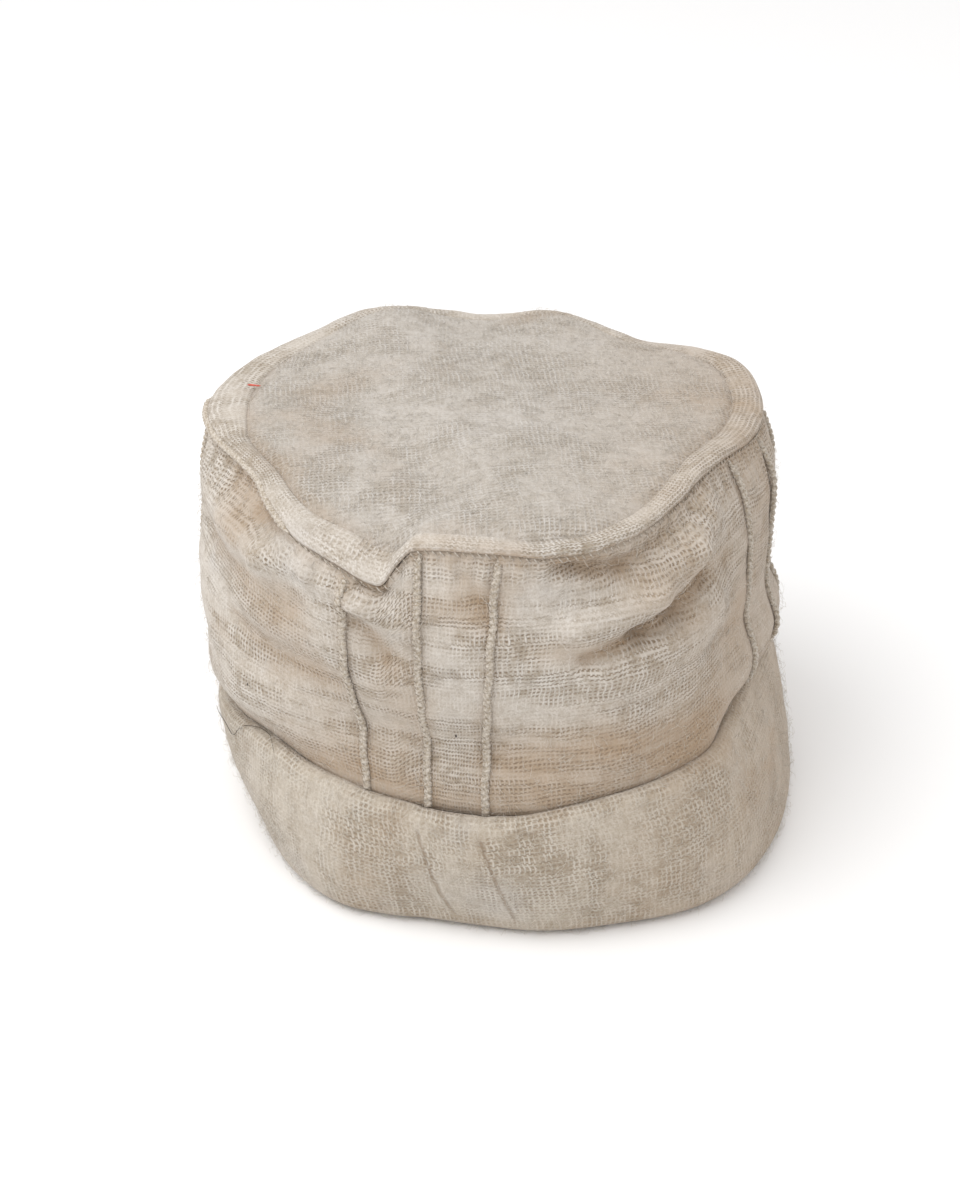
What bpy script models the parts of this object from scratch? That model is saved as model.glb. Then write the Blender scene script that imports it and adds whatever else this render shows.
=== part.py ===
"""A soft handwoven wool hat: a round crown cloth with a stitched edge, a side wall with sewn tucks
and a turned-up cuff. Metres, +Z up, front towards -Y, resting on its bottom fold at z = 0."""

import math
from collections import namedtuple

import bpy
from mathutils import Matrix, Vector

# Driving sizes, in metres
CROWN_RADIUS = 0.100
HAT_HEIGHT = 0.147
FOOT_RADIUS = 0.103
CUFF_HEIGHT = 0.055
HEM_DEPTH = 0.021
CLOTH = 0.002
LEAN = 0.015
FOOT_OFFSET = 0.006
ROLL_RADIUS = 0.0031
INNER_BEND = 0.0042
OUTER_BEND = 0.0055
FOLD_WIDTH = 0.0140
CUFF_BELLY = 0.003
WELT_WIDTH = 0.0105
WELT_THICKNESS = 0.0042
WELT_LIP = 0.0022
CROWN_RISE = 0.004
TUCK_WIDTH = 0.0028
TUCK_RISE = 0.0026
FOLD_SPREAD = 0.010
FOLD_RISE = 0.006
SEAM_GAP = 0.0004
COLUMN_STEP = 7.5

# Shares of TUCK_WIDTH at the tuck's crest, and of TUCK_RISE behind the cuff and under the welt
TUCK_CREST = 0.55
TUCK_HIDDEN = 0.25
TUCK_PRESSED = 0.45
# Above this share of HAT_HEIGHT the side wall's table follows the crown's edge up and down.
HELD_BY_CROWN = 0.7
# Degrees of the crown's edge whose mean shapes the middle of the crown cloth
CALM_SECTOR = 60.0
CALM_SAMPLES = 7
# Shares of the cuff's height at which its section has a point
CUFF_STEPS = (0.3, 0.65)
HEM_STEPS = (0.5, 1.0)

# Every table runs round the hat by bearing: degrees from the front, growing towards +X.
# Reach is a share of the named radius and height a share of the named height.
EdgeRow = namedtuple("EdgeRow", "bearing reach height")
FootRow = namedtuple("FootRow", "bearing reach")
WallRow = namedtuple("WallRow", "bearing low waist chest shoulder")
TuckRow = namedtuple("TuckRow", "bearing turn")
FoldRow = namedtuple("FoldRow", "bearing_a level_a bearing_b level_b spread rise")
DentRow = namedtuple("DentRow", "right back spread rise")

CROWN_EDGE = (
    EdgeRow(-180, 0.95, 0.966),
    EdgeRow(-160, 0.97, 0.998),
    EdgeRow(-150, 0.97, 1.004),
    EdgeRow(-134, 0.97, 0.988),
    EdgeRow(-112, 0.98, 0.982),
    EdgeRow(-92, 0.99, 0.992),
    EdgeRow(-78, 0.96, 1.000),
    EdgeRow(-60, 0.98, 1.000),
    EdgeRow(-48, 1.00, 0.983),
    EdgeRow(-38, 1.02, 0.950),
    EdgeRow(-28, 1.02, 0.912),
    EdgeRow(-21, 1.01, 0.886),
    EdgeRow(-16.5, 0.985, 0.918),
    EdgeRow(-11.5, 0.985, 0.988),
    EdgeRow(-6, 0.975, 1.002),
    EdgeRow(2.5, 0.98, 1.002),
    EdgeRow(10, 1.01, 0.998),
    EdgeRow(20, 1.01, 1.000),
    EdgeRow(31, 0.97, 1.003),
    EdgeRow(42, 0.92, 1.012),
    EdgeRow(55, 0.88, 1.024),
    EdgeRow(66, 0.885, 1.020),
    EdgeRow(76, 0.915, 1.006),
    EdgeRow(86, 0.95, 0.996),
    EdgeRow(100, 0.99, 0.992),
    EdgeRow(115, 1.02, 0.995),
    EdgeRow(126, 0.99, 0.983),
    EdgeRow(140, 0.92, 0.965),
    EdgeRow(154, 0.93, 0.974),
    EdgeRow(165, 0.96, 0.980),
)

FOOT_LINE = (
    FootRow(-180, 0.98),
    FootRow(-140, 0.99),
    FootRow(-105, 0.99),
    FootRow(-84, 1.02),
    FootRow(-68, 1.045),
    FootRow(-57, 1.075),
    FootRow(-46, 1.105),
    FootRow(-36, 1.105),
    FootRow(-27, 1.060),
    FootRow(-19, 1.022),
    FootRow(-9, 1.015),
    FootRow(2, 1.030),
    FootRow(17, 1.035),
    FootRow(33, 1.052),
    FootRow(44, 1.050),
    FootRow(57, 1.015),
    FootRow(75, 0.968),
    FootRow(92, 0.960),
    FootRow(130, 0.98),
)

CUFF_EDGE = (
    EdgeRow(-180, 1.01, 0.98),
    EdgeRow(-140, 1.02, 0.95),
    EdgeRow(-110, 1.05, 0.82),
    EdgeRow(-88, 1.08, 0.76),
    EdgeRow(-70, 1.07, 0.90),
    EdgeRow(-55, 1.05, 1.00),
    EdgeRow(-40, 1.05, 0.98),
    EdgeRow(-20, 1.04, 0.94),
    EdgeRow(0, 1.05, 0.95),
    EdgeRow(18, 1.05, 1.03),
    EdgeRow(32, 1.06, 1.09),
    EdgeRow(42, 1.03, 1.12),
    EdgeRow(58, 0.94, 1.12),
    EdgeRow(75, 0.925, 1.11),
    EdgeRow(92, 0.945, 1.09),
    EdgeRow(130, 0.99, 1.03),
)

# Shares of CROWN_RADIUS at the four heights of WALL_HEIGHTS.
WALL_HEIGHTS = (0.47, 0.60, 0.75, 0.89)
WALL = (
    WallRow(-180, 0.95, 0.97, 0.97, 0.96),
    WallRow(-145, 0.96, 0.98, 0.99, 0.98),
    WallRow(-115, 1.01, 1.02, 1.01, 0.99),
    WallRow(-90, 1.05, 1.05, 1.02, 1.00),
    WallRow(-68, 1.05, 1.05, 1.03, 1.01),
    WallRow(-50, 1.02, 1.04, 1.05, 1.03),
    WallRow(-30, 0.94, 1.00, 1.02, 1.02),
    WallRow(-15, 0.93, 0.98, 0.99, 0.98),
    WallRow(0, 0.94, 0.98, 1.00, 0.98),
    WallRow(20, 0.97, 1.00, 1.02, 1.00),
    WallRow(40, 0.95, 0.99, 1.01, 0.98),
    WallRow(58, 0.88, 0.92, 0.94, 0.92),
    WallRow(75, 0.90, 0.93, 0.95, 0.95),
    WallRow(92, 0.93, 0.94, 0.97, 1.00),
    WallRow(130, 0.96, 0.97, 0.98, 0.98),
)

# The sewn tucks: three in each quarter, and the degrees that the slumping cloth turns each towards
# +X on its way down to the bottom fold.
TUCKS = (
    TuckRow(-28.2, -1.5),
    TuckRow(-13.0, -4.5),
    TuckRow(2.2, -8.0),
    TuckRow(67.5, -7.0),
    TuckRow(83.5, -6.5),
    TuckRow(99.0, -4.0),
    TuckRow(150.0, 1.5),
    TuckRow(165.0, 2.0),
    TuckRow(180.0, 1.5),
    TuckRow(-120.0, 0.0),
    TuckRow(-105.0, 0.5),
    TuckRow(-90.0, 0.0),
)

# Folds of the side wall, from one point to another; a positive rise stands out.
FOLDS = (
    FoldRow(54, 0.86, 24, 0.76, 1.1, 0.80),
    FoldRow(62, 0.72, 22, 0.56, 0.9, -0.55),
    FoldRow(60, 0.56, 34, 0.42, 1.3, 0.45),
    FoldRow(22, 0.97, 26, 0.84, 0.8, -0.60),
    FoldRow(-58, 0.86, -27, 0.78, 0.9, 0.45),
    FoldRow(-70, 0.97, -52, 0.88, 0.7, -0.55),
    FoldRow(-25, 0.78, -17, 0.72, 0.6, 0.55),
    FoldRow(-27, 0.84, -18, 0.85, 0.5, -0.60),
    FoldRow(-110, 0.80, -72, 0.62, 1.3, 0.40),
    FoldRow(112, 0.84, 150, 0.62, 1.2, 0.50),
    FoldRow(118, 0.62, 156, 0.44, 1.1, -0.50),
    FoldRow(-168, 0.50, -128, 0.70, 1.2, -0.50),
    FoldRow(-172, 0.72, -138, 0.86, 1.2, 0.45),
)

# Soft rises and hollows of the crown cloth, placed by shares of CROWN_RADIUS.
DENTS = (
    DentRow(-0.45, 0.62, 0.26, 0.9),
    DentRow(0.30, 0.66, 0.24, 0.7),
    DentRow(-0.05, 0.72, 0.18, -0.5),
    DentRow(0.52, -0.28, 0.26, -0.5),
    DentRow(-0.50, -0.05, 0.30, -0.5),
    DentRow(0.05, -0.25, 0.34, 0.5),
)

WALL_LEVELS = (0.0, 0.16, 0.29, 0.38, 0.46, 0.54, 0.62, 0.70, 0.78, 0.86, 0.93, 0.975, 1.0)
CROWN_RINGS = (0.22, 0.44, 0.62, 0.76, 0.87, 0.95, 1.0)
PINCH_BEARINGS = (-24.0, -21.0, -18.0, -15.0, -11.5)
# Share of WELT_WIDTH from the lip inwards, share of WELT_THICKNESS from the middle
WELT_SECTION = (
    (0.00, 0.00),
    (0.06, 0.36),
    (0.26, 0.62),
    (0.58, 0.60),
    (0.88, 0.36),
    (1.00, 0.00),
    (0.90, -0.36),
    (0.45, -0.42),
    (0.08, -0.30),
)

WOOL_COLOUR = (0.66, 0.58, 0.47, 1.0)
WELT_COLOUR = (0.69, 0.61, 0.50, 1.0)
CUFF_COLOUR = (0.64, 0.57, 0.46, 1.0)


def hermite(knots, values, at):
    """A smooth curve through the values at the knots, level with the nearest knot beyond them."""
    if at <= knots[0]:
        return values[0]
    if at >= knots[-1]:
        return values[-1]

    def slope(i):
        low, high = max(i - 1, 0), min(i + 1, len(knots) - 1)
        return (values[high] - values[low]) / (knots[high] - knots[low])

    i = max(k for k in range(len(knots) - 1) if knots[k] <= at)
    span = knots[i + 1] - knots[i]
    t = (at - knots[i]) / span
    near = (1 + 2 * t) * (1 - t) ** 2 * values[i] + t * (1 - t) ** 2 * span * slope(i)
    far = t * t * (3 - 2 * t) * values[i + 1] + t * t * (t - 1) * span * slope(i + 1)
    return near + far


def around(rows, column, bearing):
    """A table's column at a bearing, smooth all the way round."""
    turn = 360.0
    bearing = (bearing + turn / 2) % turn - turn / 2
    knots, values = [], []
    for wrap in (-turn, 0.0, turn):
        for row in rows:
            knots.append(row.bearing + wrap)
            values.append(getattr(row, column))
    return hermite(knots, values, bearing)


def smoothstep(low, high, at):
    """0 below low, 1 above high, and smooth between them."""
    t = min(max((at - low) / (high - low), 0.0), 1.0)
    return t * t * (3 - 2 * t)


def place(bearing, radius, z):
    """The point at a bearing and a distance from the leaning middle line of the hat."""
    turn = math.radians(bearing)
    middle = FOOT_OFFSET - LEAN * z / HAT_HEIGHT
    return (middle + radius * math.sin(turn), -radius * math.cos(turn), z)


def crown_edge(bearing):
    """Radius and height of the crown's outer edge."""
    return (
        CROWN_RADIUS * around(CROWN_EDGE, "reach", bearing),
        HAT_HEIGHT * around(CROWN_EDGE, "height", bearing),
    )


def calm_edge(bearing, share):
    """The crown's edge as a ring of its cloth feels it: exact at share 1, a mean nearer the middle."""
    sector = CALM_SECTOR * (1 - share)
    samples = []
    for i in range(CALM_SAMPLES):
        samples.append(crown_edge(bearing + sector * (i / (CALM_SAMPLES - 1) - 0.5)))
    reach = sum(sample[0] for sample in samples) / CALM_SAMPLES
    height = sum(sample[1] for sample in samples) / CALM_SAMPLES
    return reach, height


def crown_height(right, back, share, edge_height):
    """Height of the crown cloth at shares of CROWN_RADIUS, where share runs from middle to edge."""
    settle = share**3
    height = (HAT_HEIGHT + CROWN_RISE) * (1 - settle) + edge_height * settle
    for dent in DENTS:
        apart = math.hypot(right - dent.right, back - dent.back) / dent.spread
        height += CROWN_RISE * dent.rise * math.exp(-apart * apart) * (1 - share**6)
    return height


def crown_point(bearing, share):
    """A point on the middle of the crown cloth, share 1 at its outer edge."""
    reach, edge_height = calm_edge(bearing, share)
    turn = math.radians(bearing)
    right = share * reach / CROWN_RADIUS * math.sin(turn)
    back = -share * reach / CROWN_RADIUS * math.cos(turn)
    height = crown_height(right, back, share, edge_height)
    edge_x, edge_y, _ = place(bearing, reach, edge_height)
    middle = FOOT_OFFSET - LEAN
    return (middle + (edge_x - middle) * share, edge_y * share, height)


def cuff_edge(bearing):
    """Radius and height of the top of the cuff."""
    return (
        FOOT_RADIUS * around(CUFF_EDGE, "reach", bearing),
        CUFF_HEIGHT * around(CUFF_EDGE, "height", bearing),
    )


def foot_radius(bearing):
    """Radius of the bottom fold's outer side."""
    return FOOT_RADIUS * around(FOOT_LINE, "reach", bearing)


def fold_rise(bearing, level):
    """How far the wall's folds move it out at a bearing and a share of the height."""
    rise = 0.0
    for fold in FOLDS:
        middle = (fold.bearing_a + fold.bearing_b) / 2
        near = middle + (bearing - middle + 180.0) % 360.0 - 180.0
        ax, ay = math.radians(fold.bearing_a) * CROWN_RADIUS, fold.level_a * HAT_HEIGHT
        bx, by = math.radians(fold.bearing_b) * CROWN_RADIUS, fold.level_b * HAT_HEIGHT
        px, py = math.radians(near) * CROWN_RADIUS, level * HAT_HEIGHT
        length_sq = (bx - ax) ** 2 + (by - ay) ** 2
        along = ((px - ax) * (bx - ax) + (py - ay) * (by - ay)) / length_sq
        along = min(max(along, 0.0), 1.0)
        apart = math.hypot(px - ax - along * (bx - ax), py - ay - along * (by - ay))
        share = apart / (FOLD_SPREAD * fold.spread)
        rise += FOLD_RISE * fold.rise * math.exp(-share * share)
    return rise


def wall_radius(bearing, z, top_radius, top_height):
    """Radius of the middle of the side wall's cloth."""
    edge_radius, edge_height = cuff_edge(bearing)
    inside_hem = edge_radius - 2 * ROLL_RADIUS - 2 * CLOTH - 2 * SEAM_GAP - TUCK_RISE / 4
    knots = [fold_top(), edge_height - ROLL_RADIUS]
    radii = [foot_radius(bearing) - FOLD_WIDTH, inside_hem]
    for column, share in zip(WallRow._fields[1:], WALL_HEIGHTS):
        carried = top_height - HAT_HEIGHT if share > HELD_BY_CROWN else 0.0
        knots.append(share * HAT_HEIGHT + carried)
        radii.append(CROWN_RADIUS * around(WALL, column, bearing))
    knots.append(top_height)
    radii.append(top_radius)
    level = z / HAT_HEIGHT
    above_cuff = smoothstep(edge_height, edge_height + 2 * FOLD_SPREAD, z)
    below_crown = 1 - smoothstep(top_height - FOLD_SPREAD, top_height, z)
    return hermite(knots, radii, z) + fold_rise(bearing, level) * above_cuff * below_crown


def fold_top():
    """Height where the side wall stands on the cuff's inner end."""
    return CLOTH / 2 + INNER_BEND + SEAM_GAP


def build_solid(name, points, faces, colour):
    """Adds a closed mesh object with its own material."""
    mesh = bpy.data.meshes.new(name)
    mesh.from_pydata(points, [], faces)
    mesh.validate()
    mesh.shade_smooth()
    mesh.set_sharp_from_angle(angle=math.radians(50))
    material = bpy.data.materials.new(name + "_wool")
    material.use_nodes = True
    shader = material.node_tree.nodes["Principled BSDF"]
    shader.inputs["Base Color"].default_value = colour
    shader.inputs["Roughness"].default_value = 0.95
    shader.inputs["Metallic"].default_value = 0.0
    mesh.materials.append(material)
    obj = bpy.data.objects.new(name, mesh)
    bpy.context.scene.collection.objects.link(obj)
    return obj


def ring_faces(columns, loop_length):
    """Faces of a closed ring made of equal closed loops, one after another round the hat."""
    faces = []
    for column in range(columns):
        after = (column + 1) % columns
        for i in range(loop_length):
            j = (i + 1) % loop_length
            faces.append(
                (
                    column * loop_length + i,
                    after * loop_length + i,
                    after * loop_length + j,
                    column * loop_length + j,
                )
            )
    return faces


def plain_bearings():
    """Even bearings round the hat, closer together at the pinch in the crown's edge."""
    count = round(360 / COLUMN_STEP)
    low, high = min(PINCH_BEARINGS), max(PINCH_BEARINGS)
    even = [i * 360 / count - 180 for i in range(count)]
    return sorted([b for b in even if not low - 2 < b < high + 2] + list(PINCH_BEARINGS))


def tucked_bearings():
    """(bearing, share of TUCK_RISE) for the side wall: four columns at each tuck, plain ones between."""
    half = math.degrees(TUCK_WIDTH / CROWN_RADIUS) / 2
    crest = half * TUCK_CREST
    columns = []
    for bearing in plain_bearings():
        clear = min(abs((bearing - tuck.bearing + 180) % 360 - 180) for tuck in TUCKS)
        if clear > 3 * half:
            columns.append((bearing, 0.0))
    for tuck in TUCKS:
        columns += [(tuck.bearing - half, 0.0), (tuck.bearing - crest, 1.0)]
        columns += [(tuck.bearing + crest, 1.0), (tuck.bearing + half, 0.0)]
    return sorted(((bearing + 180) % 360 - 180, rise) for bearing, rise in columns)


def side_wall():
    """The tube of cloth between the crown's edge and the bottom fold, with its sewn tucks."""
    columns = tucked_bearings()
    ordered = sorted((row for row in TUCKS), key=lambda row: row.bearing)
    points = []
    for bearing, tuck in columns:
        outer, inner = [], []
        edge_radius, edge_height = crown_edge(bearing)
        top_radius = edge_radius - WELT_LIP
        top_height = edge_height - WELT_THICKNESS / 2 - SEAM_GAP
        for level in WALL_LEVELS:
            z = fold_top() + (top_height - fold_top()) * level
            dragged = bearing + around(ordered, "turn", bearing) * (1 - level)
            radius = wall_radius(dragged, z, top_radius, top_height)
            cuff_top = cuff_edge(dragged)[1]
            seen = smoothstep(cuff_top - ROLL_RADIUS, cuff_top + 4 * ROLL_RADIUS, z)
            under_lip = smoothstep(top_height - WELT_WIDTH, top_height, z)
            rise = tuck * TUCK_RISE * (TUCK_HIDDEN + (1 - TUCK_HIDDEN) * seen)
            rise *= 1 - (1 - TUCK_PRESSED) * under_lip
            outer.append(place(dragged, radius + CLOTH / 2 + rise, z))
            inner.append(place(dragged, radius - CLOTH / 2, z))
        points += outer + inner[::-1]
    faces = ring_faces(len(columns), 2 * len(WALL_LEVELS))
    return build_solid("side_wall", points, faces, WOOL_COLOUR)


def arc(centre, radius, start, end, steps):
    """Points on an arc in the plane of a section, angles in degrees."""
    turns = [math.radians(start + (end - start) * i / steps) for i in range(steps + 1)]
    return [(centre[0] + radius * math.cos(t), centre[1] + radius * math.sin(t)) for t in turns]


def cuff_line(bearing):
    """Middle of the cuff's cloth in section: under the wall, along the table, up, over and down inside."""
    foot = foot_radius(bearing) - CLOTH / 2
    edge, top = cuff_edge(bearing)
    edge -= CLOTH / 2
    top -= CLOTH / 2
    start = foot_radius(bearing) - FOLD_WIDTH
    floor = CLOTH / 2
    line = arc((start + INNER_BEND, floor + INNER_BEND), INNER_BEND, 180, 270, 3)
    line += arc((foot - OUTER_BEND, floor + OUTER_BEND), OUTER_BEND, 270, 360, 4)
    low, high = floor + OUTER_BEND, top - ROLL_RADIUS
    for share in CUFF_STEPS:
        swell = CUFF_BELLY * math.sin(math.pi * share)
        line.append((foot + (edge - foot) * share + swell, low + (high - low) * share))
    line += arc((edge - ROLL_RADIUS, high), ROLL_RADIUS, 0, 180, 5)
    inside = edge - 2 * ROLL_RADIUS
    slope = (edge - foot) / (high - low)
    for share in HEM_STEPS:
        drop = HEM_DEPTH * share
        line.append((inside - slope * drop, high - drop))
    return line


def thicken(line, thickness):
    """A closed outline round an open line, half the thickness to each side."""
    left, right = [], []
    for i, (x, z) in enumerate(line):
        ax, az = line[max(i - 1, 0)]
        bx, bz = line[min(i + 1, len(line) - 1)]
        length = math.hypot(bx - ax, bz - az)
        nx, nz = (bz - az) / length, -(bx - ax) / length
        left.append((x + nx * thickness / 2, z + nz * thickness / 2))
        right.append((x - nx * thickness / 2, z - nz * thickness / 2))
    return left + right[::-1]


def cuff():
    """The lower part of the wall's cloth, folded up outside and hemmed over at its top."""
    bearings = plain_bearings()
    points = []
    loop = []
    for bearing in bearings:
        loop = thicken(cuff_line(bearing), CLOTH)
        points += [place(bearing, radius, max(z, 0.0)) for radius, z in loop]
    faces = ring_faces(len(bearings), len(loop))
    return build_solid("cuff", points, faces, CUFF_COLOUR)


def welt_share(bearing):
    """The crown's share of reach where the welt ends and the plain cloth starts."""
    return 1 - WELT_WIDTH / crown_edge(bearing)[0]


def crown_welt():
    """The crown's turned and stitched edge, a padded band that overhangs the side wall."""
    bearings = plain_bearings()
    points = []
    for bearing in bearings:
        lip = crown_point(bearing, 1.0)
        root = crown_point(bearing, welt_share(bearing))
        run = math.hypot(root[0] - lip[0], root[1] - lip[1])
        climb = root[2] - lip[2]
        length = math.hypot(run, climb)
        for along, across in WELT_SECTION:
            inwards = along * run - across * WELT_THICKNESS * climb / length
            upwards = along * climb + across * WELT_THICKNESS * run / length
            points.append(
                (
                    lip[0] + (root[0] - lip[0]) * inwards / run,
                    lip[1] + (root[1] - lip[1]) * inwards / run,
                    lip[2] + upwards,
                )
            )
    faces = ring_faces(len(bearings), len(WELT_SECTION))
    return build_solid("crown_welt", points, faces, WELT_COLOUR)


def crown_panel():
    """The round top cloth, inside the welt."""
    bearings = plain_bearings()
    count = len(bearings)
    points, faces = [], []
    for side in (1, -1):
        middle = crown_point(0.0, 0.0)
        points.append((middle[0], middle[1], middle[2] + side * CLOTH / 2))
        for ring in CROWN_RINGS:
            for bearing in bearings:
                edge = welt_share(bearing) - SEAM_GAP / CROWN_RADIUS
                x, y, z = crown_point(bearing, edge * ring)
                points.append((x, y, z + side * CLOTH / 2))
    layer = 1 + len(CROWN_RINGS) * count
    for i in range(count):
        j = (i + 1) % count
        faces.append((0, 1 + i, 1 + j))
        faces.append((layer, layer + 1 + j, layer + 1 + i))
        for ring in range(len(CROWN_RINGS) - 1):
            near, far = 1 + ring * count, 1 + (ring + 1) * count
            faces.append((near + i, far + i, far + j, near + j))
            faces.append((layer + near + j, layer + far + j, layer + far + i, layer + near + i))
        rim = 1 + (len(CROWN_RINGS) - 1) * count
        faces.append((rim + i, layer + rim + i, layer + rim + j, rim + j))
    return build_solid("crown_panel", points, faces, WOOL_COLOUR)


def centre(pieces):
    """Moves the pieces' points so that the whole hat stands on z = 0 around the Z axis."""
    points = [vertex.co for piece in pieces for vertex in piece.data.vertices]
    lows = [min(point[axis] for point in points) for axis in range(3)]
    highs = [max(point[axis] for point in points) for axis in range(3)]
    shift = Vector(((lows[0] + highs[0]) / -2, (lows[1] + highs[1]) / -2, -lows[2]))
    for piece in pieces:
        piece.data.transform(Matrix.Translation(shift))


def main():
    """Clears the scene and builds the hat."""
    for obj in list(bpy.data.objects):
        bpy.data.objects.remove(obj)
    centre([crown_panel(), crown_welt(), side_wall(), cuff()])


main()
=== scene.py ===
"""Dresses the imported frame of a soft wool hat: its cloths, folds, sewn tucks, stitches and fuzz."""

import logging
import math
from dataclasses import dataclass, field, replace
from enum import Enum
from typing import Any, NamedTuple

import bpy
import numpy as np
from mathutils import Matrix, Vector, noise


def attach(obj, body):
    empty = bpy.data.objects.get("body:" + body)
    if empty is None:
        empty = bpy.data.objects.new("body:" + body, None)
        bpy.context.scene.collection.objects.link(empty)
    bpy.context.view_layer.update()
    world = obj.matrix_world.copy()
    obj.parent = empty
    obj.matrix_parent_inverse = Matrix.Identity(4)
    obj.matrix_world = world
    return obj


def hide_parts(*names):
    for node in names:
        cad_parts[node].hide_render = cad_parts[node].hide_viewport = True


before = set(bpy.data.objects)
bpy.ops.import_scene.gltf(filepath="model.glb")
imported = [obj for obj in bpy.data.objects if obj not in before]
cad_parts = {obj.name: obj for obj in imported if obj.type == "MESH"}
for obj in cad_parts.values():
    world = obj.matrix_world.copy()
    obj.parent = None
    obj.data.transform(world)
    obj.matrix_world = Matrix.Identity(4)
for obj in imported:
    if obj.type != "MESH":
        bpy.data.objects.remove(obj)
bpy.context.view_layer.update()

logging.basicConfig(level=logging.INFO, format="%(name)s: %(message)s")
LOG = logging.getLogger("hat")

BODY = "root"
FULL_TURN = 360.0


class EdgeRow(NamedTuple):
    """A point of an edge that runs round the hat, in shares of a radius and a height."""

    bearing: float
    reach: float
    height: float


class FootRow(NamedTuple):
    """A point of the bottom fold, in a share of the foot's radius, and the cuff's belly above it."""

    bearing: float
    reach: float
    belly: float = 1.0


class WallRow(NamedTuple):
    """The side wall's reach at four heights, in shares of the crown's radius."""

    bearing: float
    low: float
    waist: float
    chest: float
    shoulder: float


class TuckRow(NamedTuple):
    """A sewn tuck: where it starts under the crown, how far it turns on its way down, and its bow."""

    bearing: float
    turn: float
    bow: float = 0.0


class TanPlaceRow(NamedTuple):
    """A tan place on a cloth, by bearing and share of the hat's height."""

    bearing: float
    level: float
    wide: float
    high: float
    depth: float


class FoldRow(NamedTuple):
    """A soft fold from one point of a cloth to another; a positive rise stands out."""

    bearing_a: float
    level_a: float
    bearing_b: float
    level_b: float
    spread: float
    rise: float


class DentRow(NamedTuple):
    """A soft rise or hollow of the crown cloth, placed in shares of the crown's radius."""

    right: float
    back: float
    spread: float
    rise: float


class WeltRow(NamedTuple):
    """The welt round the crown: its inner crease, its width and the groove along its middle."""

    bearing: float
    crease: float
    width: float
    groove: float


CROWN_EDGE = (
    EdgeRow(-180, 0.95, 0.966),
    EdgeRow(-160, 0.97, 0.998),
    EdgeRow(-150, 0.97, 1.004),
    EdgeRow(-134, 0.97, 0.988),
    EdgeRow(-112, 1.00, 0.982),
    EdgeRow(-94, 0.99, 0.991),
    EdgeRow(-78, 0.94, 1.000),
    EdgeRow(-67, 0.90, 1.001),
    EdgeRow(-57, 0.90, 0.999),
    EdgeRow(-48, 0.95, 0.988),
    EdgeRow(-39, 0.995, 0.963),
    EdgeRow(-30, 1.00, 0.934),
    EdgeRow(-23.5, 0.995, 0.904),
    EdgeRow(-20.5, 0.985, 0.902),
    EdgeRow(-17.5, 0.980, 0.950),
    EdgeRow(-14, 0.965, 0.992),
    EdgeRow(-6, 0.968, 1.002),
    EdgeRow(2.5, 0.98, 1.002),
    EdgeRow(10, 1.01, 0.998),
    EdgeRow(20, 1.01, 1.000),
    EdgeRow(31, 0.97, 1.003),
    EdgeRow(42, 0.92, 1.012),
    EdgeRow(55, 0.88, 1.024),
    EdgeRow(66, 0.885, 1.020),
    EdgeRow(76, 0.915, 1.006),
    EdgeRow(86, 0.95, 0.996),
    EdgeRow(100, 0.99, 0.992),
    EdgeRow(115, 1.02, 0.995),
    EdgeRow(126, 0.99, 0.983),
    EdgeRow(140, 0.92, 0.965),
    EdgeRow(154, 0.93, 0.974),
    EdgeRow(165, 0.96, 0.980),
)

FOOT_LINE = (
    FootRow(-180, 0.98),
    FootRow(-140, 0.99),
    FootRow(-105, 0.99),
    FootRow(-84, 1.00),
    FootRow(-68, 1.022),
    FootRow(-57, 1.052),
    FootRow(-46, 1.085),
    FootRow(-36, 1.095),
    FootRow(-27, 1.060),
    FootRow(-19, 1.022),
    FootRow(-9, 1.015),
    FootRow(2, 1.030),
    FootRow(17, 1.035),
    FootRow(33, 1.068),
    FootRow(44, 1.060),
    FootRow(57, 1.025, 0.7),
    FootRow(75, 0.985, 0.2),
    FootRow(92, 0.980, 0.2),
    FootRow(130, 0.985, 0.8),
)

CUFF_EDGE = (
    EdgeRow(-180, 1.01, 0.96),
    EdgeRow(-140, 1.02, 0.93),
    EdgeRow(-110, 1.05, 0.79),
    EdgeRow(-88, 1.08, 0.71),
    EdgeRow(-70, 1.07, 0.86),
    EdgeRow(-55, 1.05, 0.96),
    EdgeRow(-40, 1.05, 0.93),
    EdgeRow(-20, 1.04, 0.885),
    EdgeRow(0, 1.05, 0.90),
    EdgeRow(18, 1.05, 0.99),
    EdgeRow(32, 1.06, 1.05),
    EdgeRow(41, 1.045, 1.07),
    EdgeRow(50, 0.975, 1.10),
    EdgeRow(60, 0.925, 1.11),
    EdgeRow(75, 0.905, 1.12),
    EdgeRow(92, 0.935, 1.09),
    EdgeRow(130, 0.99, 1.01),
)

WALL_HEIGHTS = (0.47, 0.60, 0.75, 0.89)
WALL = (
    WallRow(-180, 0.95, 0.97, 0.97, 0.96),
    WallRow(-145, 0.96, 0.98, 0.99, 0.98),
    WallRow(-115, 1.01, 1.02, 1.01, 0.99),
    WallRow(-90, 1.08, 1.06, 1.02, 1.01),
    WallRow(-68, 1.08, 1.06, 1.03, 1.01),
    WallRow(-50, 1.03, 1.04, 1.05, 1.02),
    WallRow(-30, 0.94, 1.00, 1.02, 1.02),
    WallRow(-15, 0.93, 0.98, 0.99, 0.98),
    WallRow(0, 0.94, 0.98, 1.00, 0.98),
    WallRow(20, 0.97, 1.00, 1.02, 1.00),
    WallRow(40, 0.965, 0.99, 1.01, 0.98),
    WallRow(58, 0.905, 0.92, 0.94, 0.92),
    WallRow(75, 0.91, 0.93, 0.95, 0.95),
    WallRow(92, 0.94, 0.94, 0.97, 1.00),
    WallRow(130, 0.96, 0.97, 0.98, 0.98),
)

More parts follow.
